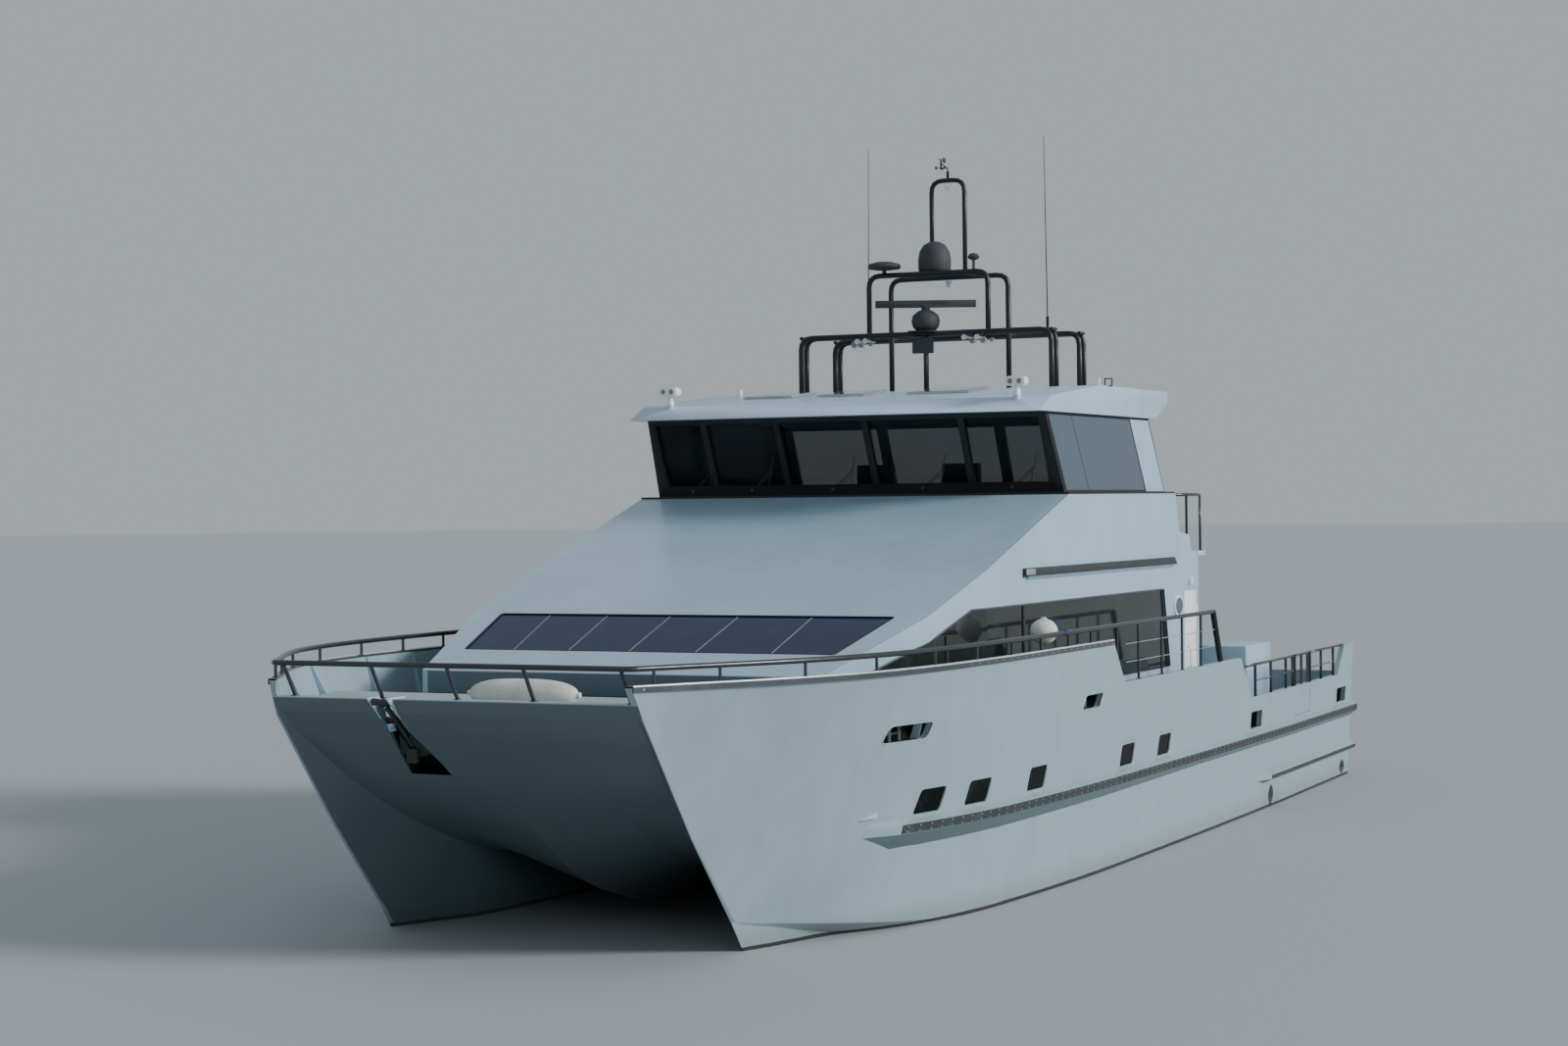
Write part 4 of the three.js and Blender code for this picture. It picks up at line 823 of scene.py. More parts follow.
def pair(name: str, finish: Finish, parts: Iterable[Mesh], sharp: float = SMOOTH_ANGLE,
         stands_for: str = "", body: str = "") -> None:
    """Puts port meshes on both sides of the boat.

    Args:
        name: the pieces' name before the side's.
        finish: their finish.
        parts: meshes made for port; they are freed.
        sharp: angle over which an edge stays sharp in shading.
        stands_for: the replaced node's name before the side's, or nothing.
        body: the body's name before the side's, or nothing for the boat itself.
    """
    whole = joined(parts)
    for side in Side:
        Piece(side.named(name), finish, side.named(body) if body else "boat", sharp,
              (side.named(stands_for),) if stands_for else ()).put(on_side(whole.copy(), side))
    whole.free()


def node_copy(name: str, flat: bool = True) -> Mesh:
    """A merged copy of a CAD node's mesh, its flat faces joined where asked."""
    bm = bmesh.new()
    bm.from_mesh(frame["nodes"][name].data)
    bmesh.ops.remove_doubles(bm, verts=bm.verts, dist=MERGE)
    if flat:
        bmesh.ops.dissolve_limit(bm, angle_limit=math.radians(FLAT_ANGLE), verts=bm.verts,
                                 edges=bm.edges)
    return bm


@dataclass(frozen=True)
class Cover:
    """CAD nodes that are replaced by copies with rounded edges and smooth shading."""

    finish: Finish
    nodes: tuple[str, ...]
    round_by: float = 0.0
    sharp: float = SMOOTH_ANGLE
    edge_angle: float = 30.0

    def put(self) -> None:
        """Makes a piece for each node."""
        least = math.radians(self.edge_angle)
        for name in self.nodes:
            bm = node_copy(name, self.round_by > 0)
            if self.round_by > 0:
                bevel(bm, [e for e in bm.edges if e.is_manifold
                           and e.calc_face_angle(0.0) > least], self.round_by)
            Piece(f"{name}_skin", self.finish, frame["nodes"][name]["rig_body"], self.sharp,
                  (name,)).put(bm)


@dataclass
class Assembly:
    """A part of the boat: CAD nodes that are covered, and trim that the CAD leaves out."""

    covers: tuple[Cover, ...] = ()

    def build(self) -> None:
        """Covers the nodes and adds the trim."""
        for cover in self.covers:
            cover.put()
        self.trim()

    def trim(self) -> None:
        """Adds the trim, where there is any."""


# Hull form


@dataclass(frozen=True)
class HullForm:
    """The hull's lines by station, port half, faired between their stations."""

    at: Row = (0, 0.17, 0.76, 1.11, 1.97, 2.6, 3.3, 4.4, 6, 9.5, 14, 17, 19.2, 21.85)
    sheer_x: Row = (
        2.135, 2.235, 2.59, 2.815, 3.265, 3.48, 3.64, 3.77, 3.85, 3.87, 3.87, 3.86, 3.83, 3.78)
    chine_x: Row = (
        2.133, 2.176, 2.178, 2.18, 2.2, 2.44, 2.8, 3.18, 3.49, 3.69, 3.72, 3.71, 3.67, 3.62)
    chine_z: Row = (
        2.86, 2.504, 1.75, 1.302, 0.345, 0.25, 0.17, 0.06, -0.04, -0.12, -0.15, -0.16, -0.17, -0.18)
    flat_x: Row = (
        2.132, 2.175, 2.175, 2.176, 2.188, 2.375, 2.55, 2.93, 3.24, 3.45, 3.48, 3.47, 3.43, 3.38)
    flat_z: Row = (
        2.857, 2.502, 1.745, 1.296, 0.334, 0.205, 0.065, -0.1, -0.2, -0.28, -0.31, -0.32, -0.31,
        -0.27)
    keel_x: Row = (
        2.128, 2.17, 2.168, 2.168, 2.17, 2.19, 2.23, 2.35, 2.48, 2.59, 2.6, 2.6, 2.6, 2.6)
    keel_z: Row = (
        2.854, 2.5, 1.74, 1.29, 0.32, -0.45, -0.82, -1.03, -1.12, -1.15, -1.12, -0.96, -0.59, -0.43)
    inner_x: Row = (
        2.122, 2.166, 2.16, 2.16, 2.158, 1.99, 1.7, 1.59, 1.49, 1.43, 1.43, 1.44, 1.46, 1.48)
    inner_z: Row = (
        2.856, 2.503, 1.748, 1.3, 0.332, 0, -0.04, -0.12, -0.18, -0.2, -0.2, -0.2, -0.19, -0.19)
    roof_x: Row = (2.08, 2.1, 1.99, 1.9, 1.68, 1.56, 1.48, 1.43, 1.4, 1.4, 1.4, 1.4, 1.4, 1.4)
    roof_z: Row = (
        2.858, 2.54, 2.03, 1.745, 1.225, 0.96, 0.77, 0.68, 0.64, 0.64, 0.64, 0.64, 0.64, 0.64)
    crest_x: Row = (1.1, 1.12, 1.15, 1.15, 1.13, 1.09, 1.04, 0.98, 0.93, 0.9, 0.9, 0.9, 0.9, 0.9)
    crest_z: Row = (
        2.858, 2.548, 2.034, 1.75, 1.215, 0.93, 0.74, 0.65, 0.62, 0.62, 0.62, 0.62, 0.622, 0.624)
    nose_z: Row = (
        2.857, 2.55, 2.03, 1.68, 1.01, 0.62, 0.345, 0.11, 0.06, 0.06, 0.33, 0.48, 0.56, 0.6)

    FOOT = 1.97
    STRAIGHT = range(1, 9)
    KEEL_FLAT = 0.004
    PLANKS = (0.0, 0.12, 0.24, 0.36, 0.48, 0.60, 0.72, 0.86, 1.0)
    BOW = (0.0, 0.085, 0.17, 0.32, 0.47, 0.62, 0.76, 0.93, 1.11, 1.28, 1.45, 1.62, 1.79, FOOT)

    def columns(self, at: float) -> list[float]:
        """The section's numbers at any station, by monotone cubic fairing.

        Args:
            at: the station.

        Returns:
            What each line measures there, in the order of the fields.
        """
        i = max(k for k, start in enumerate(self.at[:-1]) if start <= at or k == 0)
        span = self.at[i + 1] - self.at[i]
        t = (at - self.at[i]) / span
        h = t * t * (3 - 2 * t)
        out = []
        for k, line in enumerate(getattr(self, column.name) for column in fields(self)[1:]):
            a, b = line[i], line[i + 1]
            m0, m1 = (self.slope(line, j) * span for j in (i, i + 1))
            faired = a * (1 - h) + b * h + m0 * t * (1 - t) ** 2 - m1 * t * t * (1 - t)
            out.append(a + (b - a) * t if at < self.FOOT and k in self.STRAIGHT else faired)
        return out

    def slope(self, line: Row, i: int) -> float:
        """Slope of a line at its i-th station that keeps the curve from overshooting."""
        steps = [(b - a) / (v - u) for a, b, u, v in zip(line, line[1:], self.at, self.at[1:])]
        a, b = steps[max(i - 1, 0)], steps[min(i, len(steps) - 1)]
        return 0.0 if a * b <= 0 else 2 * a * b / (a + b)

    def section(self, at: float) -> list[Point]:
        """The closed section at a station.

        Args:
            at: the station.

        Returns:
            Its points, from the port sheer under the hull to the starboard one.
        """
        s, cx, cz, fx, fz, kx, kz, ix, iz, rx, rz, ex, ez, nose = self.columns(at)
        half = [pt(s + (cx - s) * t, at, CAP_Z + (cz - CAP_Z) * t) for t in self.PLANKS]
        half += [pt(x, at, z) for x, z in (
            (fx, fz), (kx + self.KEEL_FLAT, kz), (kx - self.KEEL_FLAT, kz), (ix, iz), (rx, rz),
            (ex, ez))]
        return [*half, pt(0.0, at, nose), *other_half(half)]

    def side_x(self, at: float, z: float) -> float:
        """Half-breadth of the topsides at a station and height."""
        sheer, cx, cz = self.columns(min(max(at, 0.0), LENGTH))[:3]
        return cx + (sheer - cx) * (z - cz) / (CAP_Z - cz)

    def stations(self) -> list[float]:
        """Stations close together at the bow and further apart aft."""
        fore = [*self.BOW, *(self.FOOT + 0.15 * k for k in range(1, 19))]
        aft = [fore[-1] + 0.35 * k for k in range(1, 55)]
        return [*(at for at in fore + aft if at < LENGTH - 0.1), LENGTH]


FORM = HullForm()


def skin_pt(at: float, z: float, proud: float) -> Point:
    """A point that stands proud of the port topside."""
    return pt(FORM.side_x(at, z) + proud, at, z)


def cap_pt(at: float, z: float, out: float) -> Point:
    """A point at any height that stands out from the top of the port bulwark."""
    return pt(FORM.side_x(at, CAP_Z) + out, at, z)


def on_skin(outline: Outline, inner: float, outer: float) -> Mesh:
    """A plate that follows the port topside.

    Args:
        outline: its corners as (station, z).
        inner: how far its inner face stands proud of the skin.
        outer: the same for its outer face.

    Returns:
        A new mesh.
    """
    return loft([[skin_pt(at, z, proud) for at, z in outline] for proud in (inner, outer)])


@dataclass(frozen=True)
class Opening:
    """A leaning four-sided opening with round corners, as stations and heights."""

    at0: float
    at1: float
    z0: float
    z1: float
    lean: float
    reach: float

    def outline(self, grow: float = 0.0, steps: int = 4) -> list[tuple[float, float]]:
        """Its outline.

        Args:
            grow: how much larger it is made all round.
            steps: how many parts a corner has.

        Returns:
            Its points as (station, z).
        """
        a0, a1, z0, z1 = self.at0 - grow, self.at1 + grow, self.z0 - grow, self.z1 + grow
        corners = [Vector(c) for c in ((a0 - self.lean, z0), (a0 + self.lean, z1),
                                       (a1 + self.lean, z1), (a1 - self.lean, z0))]
        return [(p.x, p.y) for k in range(4)
                for p in arc(corners[k - 1], corners[k], corners[(k + 1) % 4], self.reach, steps)]


def leaf(at: float, half: float, z0: float, z1: float) -> list[tuple[float, float]]:
    """An upright pointed ellipse.

    Args:
        at: the station of its middle.
        half: half its width.
        z0: its foot.
        z1: its top.

    Returns:
        Its points as (station, z).
    """
    middle, rise = (z0 + z1) / 2, (z1 - z0) / 2
    return [(at + half * math.sin(a) * abs(math.sin(a)) ** 0.35, middle + rise * math.cos(a))
            for a in angles(24)]


@dataclass
class Hull(Assembly):
    """Demihulls, bridge deck and bulwarks in one faired skin, with what is fixed to them."""

    nodes: tuple[str, ...] = (*both("hull"), "bridge_deck", *both("bulwark"))
    bulwark: float = 0.08
    bulwark_top: Outline = (
        (9.17, 3.4), (9.17, 2.87), (9.68, 2.33), (14.87, 2.33), (15.52, 1.72), (20.78, 1.72),
        (21.21, 2.20), (22.1, 2.20), (22.1, 3.4))
    deck_line: Outline = (
        (-0.5, 3.4), (-0.5, FRONT_EDGE_Z), (0.30, FRONT_EDGE_Z), (0.30, FOREDECK), (2.80, FOREDECK),
        (2.80, SIDE_DECK), (3.45, SIDE_DECK), (3.45, MAIN_DECK), (22.2, MAIN_DECK), (22.2, 3.4))
    side_steps: Outline = (
        (3.3, 1.0), (3.3, 2.0), (13.5, 2.0), (13.5, 1.733), (13.8, 1.733), (13.8, 1.467),
        (14.1, 1.467), (14.1, MAIN_DECK), (14.2, 1.0))
    ports: tuple[Opening, ...] = (
        Opening(3.17, 3.99, 2.09, 2.28, 0.04, 0.08), Opening(8.20, 8.84, 2.08, 2.26, 0.05, 0.07),
        Opening(15.49, 16.10, 1.25, 1.51, 0.01, 0.025),
        Opening(20.77, 21.42, 1.25, 1.50, 0.01, 0.025))
    lights: tuple[Opening, ...] = tuple(
        Opening(at - 0.25, at + 0.25, 1.265, 1.53, 0.04, 0.05)
        for at in (4.27, 5.27, 6.84, 9.90, 11.40))
    exhausts: tuple[Row, ...] = ((16.75, 0.14, 0.02, 0.33), (21.37, 0.17, 0.04, 0.28))
    gate: tuple[Row, Row] = ((3.0, 18.0, 1.26), (5.0, 18.95, 3.0))
    bay: tuple[Row, Row] = ((2.15, 15.95, -0.23), (3.25, 17.70, 1.3))
    pocket_x: float = -0.8
    pocket_rows: tuple[Row, ...] = (
        (0.07, -0.06, 0.26, 3.2), (0.11, -0.06, 0.56, 2.4), (0.26, 0.30, 1.25, 1.85))
    rudder_pad: Outline = ((0, -0.2), (0.09, -0.2), (0.09, -0.56), (0, -0.56))
    panels: tuple[Row, ...] = (
        (-1.4, 15.6, 1.4, 17.6), (-1.4, 17.7, 1.4, 19.6), (-1.4, 19.7, 1.4, 21.6),
        (-3.5, 17.9, -1.5, 19.6), (-3.5, 19.7, -1.5, 21.6), (1.5, 20.1, 3.5, 21.6),
        (1.5, 17.9, 3.5, 18.4))
    treads: tuple[Row, ...] = (
        (3.70, 7.0, 13.45, SIDE_DECK), (3.66, 13.53, 13.77, 1.733), (3.66, 13.83, 14.07, 1.467))
    cap_section: Outline = (
        (0.014, -0.055), (0.016, -0.004), (0.008, 0.008), (-0.088, 0.008), (-0.092, -0.012),
        (-0.004, -0.012), (-0.004, -0.055))
    main_bar: Outline = ((0.885, -0.02), (1.078, 0.098), (1.090, 0.100), (1.180, 0.100),
                         (1.190, 0.096), (1.245, -0.02))
    main_nose: Row = (3.50, 3.24, 3.22, 3.25, 3.26, 3.30)
    main_rubber: Outline = ((1.086, 0.09), (1.087, 0.108), (1.092, 0.112), (1.178, 0.112),
                            (1.184, 0.108), (1.184, 0.09))
    low_bar: Outline = ((0.385, -0.02), (0.442, 0.094), (0.452, 0.098), (0.505, 0.098),
                        (0.515, 0.094), (0.600, -0.02))
    low_nose: Row = (16.29, 15.95, 15.93, 15.95, 15.95, 15.97)
    low_rubber: Outline = ((0.452, 0.088), (0.453, 0.106), (0.457, 0.110), (0.500, 0.110),
                           (0.505, 0.106), (0.505, 0.088))
    ribs: Outline = ((1.15, FOREDECK), (2.35, FOREDECK),
                     *((3.9 + 1.1 * k, SIDE_DECK) for k in range(5)))

    def trim(self) -> None:
        """Makes the skin and everything on it."""
        self.skin()
        self.deck_panels()
        self.cap_rail()
        self.rub_rails()
        self.windows()
        self.fairleads()
        self.stiffeners()

    def skin(self) -> None:
        """The painted shell, carved like the CAD solids."""
        slots = joined([across(port.outline(), 2.6, 4.6) for port in self.ports])
        cutters = [across(self.bulwark_top, -BEYOND, BEYOND), self.well(),
                   joined([mirrored(slots), slots]), box(*self.gate), self.pocket()]
        for side in Side:
            rebates = [on_skin(light.outline(), -0.022, 0.08) for light in self.lights]
            rebates += [on_skin(leaf(*hole), -0.09, 0.08) for hole in self.exhausts]
            cutters += [on_side(box(*self.bay), side), on_side(joined(rebates), side)]
        shell = loose("hull_shell", loft([FORM.section(at) for at in FORM.stations()]))
        for cutter in cutters:
            carve(shell, cutter)
        pads = [turned(self.rudder_pad, pt(2.6 * side.value, 20.95, 0)) for side in Side]
        bm = joined([taken(shell), *pads])
        bmesh.ops.remove_doubles(bm, verts=bm.verts, dist=1e-5)
        Piece("hull_skin", Paints.HULL, sharp=6.0, stands_for=self.nodes).put(bm)

    def well(self) -> Mesh:
        """The air inside the bulwarks, above the decks."""
        rows = []
        for at in (-0.3, *FORM.stations(), LENGTH + 0.3):
            port = [skin_pt(at, z, -self.bulwark) for z in (3.3, 0.8)]
            rows.append([*port, *other_half(port)])
        air = loose("air", loft(rows))
        carve(air, across(self.deck_line, -BEYOND, BEYOND), "INTERSECT")
        ledge = loose("ledge", across(self.side_steps, -BEYOND, BEYOND))
        plan = [pt(x + 0.0003, at, 0.5) for x, at in (*CABIN_PLAN[:-1], (CABIN_HALF, 16.3))]
        carve(ledge, prism([*plan, *other_half(plan)], (0, 0, 3.0)))
        carve(air, taken(ledge))
        carve(air, box((-BEYOND, LENGTH - self.bulwark, 0.5), (BEYOND, LENGTH + 0.5, 1.72)))
        return taken(air)

    def pocket(self) -> Mesh:
        """Cutter for the anchor's pocket in the raked bow."""
        return loft([[pt(self.pocket_x + x, at, z) for x, at in ((-w, a), (w, a), (w, b), (-w, b))]
                     for w, a, b, z in self.pocket_rows])

    def deck_panels(self) -> None:
        """Non-slip panels laid on the decks."""
        thick, raised, inner = 0.004, 0.055, 3.16
        fore = [skin_pt(at, FOREDECK, -0.16) for at in (0.45, 1.2, 2.0, 2.7)]
        made = [prism([*fore, *other_half(fore)], (0, 0, raised))]
        made += [box((x0, a0, MAIN_DECK), (x1, a1, MAIN_DECK + thick))
                 for x0, a0, x1, a1 in self.panels]
        made += [on_side(box((inner, a0, z), (x, a1, z + thick)), side)
                 for side in Side for x, a0, a1, z in self.treads]
        Piece("deck_panels", Paints.DECK).put(*made)

    def cap_rail(self) -> None:
        """The dark capping along the high run of the bulwarks, its bolts, and a pale round strip on
        its outer top edge whose colour paints the highlight there.
        """
        run = [*(at for at in FORM.stations() if at < 9.0), 9.14]
        cap = loft([[cap_pt(at, CAP_Z + up, out) for out, up in self.cap_section] for at in run])
        # A round strip whose pale colour is a painted highlight on the cap's top edge.
        highlight_strip = tube([cap_pt(at, CAP_Z + 0.005, 0.010) for at in run], 0.011, 8)
        bolts = self.bolt_row(0.0, run[-1], CAP_Z - 0.028, 0.21, 0.016, 0.009)
        pair("cap_rail", Paints.CAP, [cap], 30.0)
        pair("cap_bead", Paints.BEAD, [highlight_strip], 60.0)
        pair("cap_bolts", Paints.STEEL, bolts)

    @staticmethod
    def bolt_row(first: float, last: float, z: float, pitch: float, proud: float,
                 radius: float) -> list[Mesh]:
        """Bolt heads that face outboard.

        Args:
            first: the station where the bolted part starts.
            last: the station where it ends.
            z: the bolts' height.
            pitch: the least that lies between them.
            proud: how far their feet stand proud of the skin.
            radius: their radius.

        Returns:
            A mesh for each.
        """
        head = ((0, 0), (radius, 0), (radius * 0.8, radius * 0.5), (0, radius * 0.65))
        start, stop = first + 0.1, last - 0.05
        count = int((stop - start) / pitch)
        heads = []
        for at in (start + (stop - start) * k / count for k in range(count + 1)):
            widening = FORM.side_x(at + 0.05, z) - FORM.side_x(at - 0.05, z)
            heads.append(turned(head, skin_pt(at, z, proud), (0.1, -widening, 0), 8))
        return heads

    @staticmethod
    def bar(stations: Iterable[float], profile: Outline, nose: Row = (), foot: float = 0.0,
            rest: float = 0.0) -> Mesh:
        """A bar along the port topside.

        Args:
            stations: where its sections stand.
            profile: its section at the bow as (z, how far it stands proud of the skin).
            nose: stations at which each corner of the section runs out into the skin.
            foot: how far the section's first corner has risen by station 13.
            rest: the same for its other corners.

        Returns:
            A new mesh.
        """
        rows = [[skin_pt(at, z, -0.006) for at, (z, _) in zip(nose, profile)]] if nose else []
        for at in stations:
            share = min(max((at - 4.0) / 9.0, 0.0), 1.0)
            rows.append([skin_pt(at, z + share * (rest if k else foot), proud)
                         for k, (z, proud) in enumerate(profile)])
        return loft(rows)

    def rub_rails(self) -> None:
        """The big bevelled bar and the small one below it, with rubber strips and paired bolts."""
        run = [3.72, *(3.8 + 0.4 * k for k in range(1, 45)), LENGTH]
        low = [at for at in run if at > 16.7]
        rise, sink = 0.08, -0.011
        pair("rub_rail_skin", Paints.BAR, [
            self.bar(run, self.main_bar, self.main_nose, rise, sink)], 20.0, "rub_rail")
        pair("lower_rub_rail", Paints.LOW_BAR, [
            self.bar([16.40, *low], self.low_bar, self.low_nose)], 20.0)
        pair("rubber_strips", Paints.RUBBER, [
            self.bar(run, self.main_rubber, (), sink, sink),
            self.bar([16.44, *low], self.low_rubber)], 25.0)
        pair("rub_bolts", Paints.STEEL, [
            bolt for z in (1.103, 1.158)
            for bolt in self.bolt_row(3.7, LENGTH, z, 0.20, 0.111, 0.008)])
        pair("rub_rail_fin", Paints.ROOF, [
            on_skin([(3.14, 1.285), (3.36, 1.295), (3.34, 1.36)], -0.01, 0.035)])

    def windows(self) -> None:
        """Glass in the side lights' rebates, and the dark inside of the exhausts."""
        panes, sills = [], []
        for light in self.lights:
            a0, a1, z0, z1 = light.at0 + 0.02, light.at1 - 0.06, light.z0 + 0.001, light.z0 + 0.010
            panes.append(on_skin(light.outline(-0.004), -0.034, -0.016))
            sills.append(on_skin([(a0, z0), (a0, z1), (a1, z1), (a1, z0)], -0.016, 0.003))
        rims = [tube([skin_pt(at, z, 0.001) for at, z in light.outline(0.032)], 0.004, 6,
                     closed=True) for light in self.lights[3:]]
        insides = [on_skin(leaf(*hole), -0.10, -0.07) for hole in self.exhausts]
        pair("hull_lights", Paints.HULL_GLASS, panes)
        pair("hull_light_sills", Paints.TRIM, sills)
        pair("hull_light_rims", Paints.ALLOY, rims)
        pair("exhausts", Paints.BLACK, insides)

    def fairleads(self) -> None:
        """Rolled rims round the openings, a small bollard inside each, and a dark box behind each
        that paints the shade inside the opening.
        """
        rims, shade_boxes, posts = [], [], []
        for port in self.ports:
            rims.append(tube([skin_pt(at, z, -0.004) for at, z in port.outline()], 0.010, 8,
                             closed=True))
            # A dark box standing in for the shade inside the opening: painted shade.
            shaded_recess = loose("port_box", on_skin(port.outline(0.02), -0.27, -0.079))
            carve(shaded_recess, on_skin(port.outline(), -0.25, 0.0))
            shade_boxes.append(taken(shaded_recess))
            middle, low = (port.at0 + port.at1) / 2, port.z0
            x = FORM.side_x(middle, low) - 0.16
            posts += [tube([pt(x, middle + shift, low - 0.01), pt(x, middle + shift, low + 0.15)],
                           0.032, 16) for shift in (-0.13, 0.13)]
            posts.append(tube([pt(x, middle + shift, low + 0.08) for shift in (-0.2, 0.2)], 0.014))
        pair("port_rims", Paints.HULL, rims)
        pair("mooring_boxes", Paints.SEAL, shade_boxes)
        pair("bollards", Paints.TRIM, posts)

    def stiffeners(self) -> None:
        """Slanted flat bars on the inner faces of the bulwarks, from the deck to the capping."""
        bars = []
        for at, deck in self.ribs:
            top, low = CAP_Z - 0.02, deck + 0.001
            bars.append(prism([skin_pt(at, z, inboard - self.bulwark) for z, inboard in (
                (top, 0.01), (low, 0.01), (low, -0.10), (top, -0.03))], (0, 0.008, 0)))
        pair("bulwark_ribs", Paints.CABIN, bars)


@dataclass
class Cabin(Assembly):
    """The lower superstructure with its windows and doors."""

    covers: tuple[Cover, ...] = (
        Cover(Paints.CABIN, (*both("cabin_side"), "cabin_aft_wall"), 0.004, 8.0),
        Cover(Paints.FRONT, ("cabin_front",), 0.004, 8.0),
        Cover(Paints.ROOF, ("upper_deck",), 0.012),
        Cover(Paints.SALON_GLASS, both("cabin_window")),
        Cover(Paints.GELCOAT, both("side_door"), 0.006),
        Cover(Paints.NAVY_GLASS, ("cabin_front_window",)),
        Cover(Paints.SALON_GLASS, ("aft_door",), 0.004))
    side_window: Outline = (
        (4.25, 2.76), (5.48, 3.09), (6.43, 3.36), (13.6, 3.36), (13.85, 2.27), (4.6, 2.27))
    mullions: Outline = ((5.8, 3.09), (8.1, 3.36))
    vent_strip: Outline = ((8.04, 3.70), (8.04, 3.80), (14.0, 3.80), (14.11, 3.70))
    vent_lip: Outline = ((-0.01, 3.64), (0.045, 3.70), (-0.01, 3.70))
    door_handle: Outline = ((0.005, 2.2), (0.05, 2.2), (0.05, 2.5), (0.005, 2.5))
    seams: Outline = ((-1.91, -1.75), (-1.12, -1.01), (-0.27, -0.21), (0.62, 0.65), (1.57, 1.61))
    band: tuple[Row, ...] = (
        (2.38, 4.11, 0.03), (2.60, 5.29, 0.05), (-2.60, 5.29, 0.05), (-2.38, 4.11, 0.03))

    def trim(self) -> None:
        """Window frames, strips, side ports and the edges of the front window band."""
        self.side_windows()
        self.side_strips()
        self.side_ports()
        self.front_trim()

    @staticmethod
    def wall_x(at: float) -> float:
        """Half-breadth of the cabin's side at a station of its plan."""
        return next(x0 + (x1 - x0) * (at - a0) / (a1 - a0)
                    for (x0, a0), (x1, a1) in zip(CABIN_PLAN, CABIN_PLAN[1:]) if at <= a1)

    def side_windows(self) -> None:
        """Frames and mullions of the side windows."""
        line = []
        corners = self.side_window
        for (a0, z0), (a1, z1) in zip(corners, corners[1:] + corners[:1]):
            count = max(int(abs(a1 - a0) / 0.4), 2)
            for t in (k / count for k in range(count)):
                at = a0 + (a1 - a0) * t
                line.append(pt(self.wall_x(at) + 0.002, at, z0 + (z1 - z0) * t))
        bars = [box((self.wall_x(at) - 0.04, at - 0.03, 2.28),
                    (self.wall_x(at) - 0.004, at + 0.03, top), 0.004) for at, top in self.mullions]
        pair("salon_frame", Paints.TRIM, [tube(line, 0.016, 6, closed=True, flat=0.6)])
        pair("salon_mullions", Paints.SEAL, bars)

    def side_strips(self) -> None:
        """The long vent strip under the upper deck, and the side doors' handles."""
        x, foot = CABIN_HALF, CABIN_HALF - 0.01
        strip = [pt(foot, at, z) for at, z in self.vent_strip]
        lip = [pt(x + out, 8.16, z) for out, z in self.vent_lip]
        end = box((foot, 8.05, 3.715), (x + 0.053, 8.36, 3.79), 0.006)
        handle = bent([pt(x + out, 14.68, z) for out, z in self.door_handle], 0.02)
        pair("vent_strip", Paints.RUBBER, [prism(strip, (0.06, 0, 0), 0.006)])
        pair("vent_lip", Paints.CABIN, [prism(lip, (0, 5.85, 0))])
        pair("vent_end", Paints.ALLOY, [end])
        pair("side_door_handle", Paints.STEEL, [tube(handle, 0.009, 8)], body="side_door")

    @staticmethod
    def side_ports() -> None:
        """An oval port light forward of each side door and a small lamp over it."""
        x, foot = CABIN_HALF, CABIN_HALF - 0.01
        for name, finish, rise, half, out in (
                ("side_port_rim", Paints.GELCOAT, 0.155, 0.20, 0.022),
                ("side_port_pane", Paints.SIDE_GLASS, 0.118, 0.160, 0.026)):
            oval = [(14.26 + half * math.cos(a), 3.10 + rise * math.sin(a)) for a in angles(28)]
            pair(name, finish, [across(oval, foot, x + out)])
        lamp = box((foot, 14.77, 3.39), (x + 0.05, 14.85, 3.49), 0.012)
        pair("door_lamp", Paints.GELCOAT, [lamp])

    @staticmethod
    def front_z(at: float) -> float:
        """Height of the sloping front panel at a station."""
        return 2.76 + (4.70 - 2.76) / (9.74 - 3.45) * (at - 3.45)

    def front_trim(self) -> None:
        """Seams, rim and corner fillets of the front window band."""
        seams = [tube([pt(x, at, self.front_z(at) - 0.012)
                       for x, at in ((x_low * 0.99, 4.13), (x_top, 5.27))], 0.0045, 6)
                 for x_top, x_low in self.seams]
        Piece("front_window_seams", Paints.ALLOY).put(*seams)
        spots = [Vector(pt(x, at, self.front_z(at))) for x, at, _ in self.band]
        path, fillets = [], []
        for k, (_, _, reach) in enumerate(self.band):
            corner = arc(spots[k - 1], spots[k], spots[(k + 1) % 4], reach)
            path += [p - Vector((0, 0, 0.004)) for p in corner]
            fillets.append(prism([spots[k], *corner], (0, 0, -0.010)))
        Piece("front_window_rim", Paints.SEAL).put(tube(path, 0.010, 6, closed=True))
        Piece("front_window_fillets", Paints.CABIN).put(*fillets)


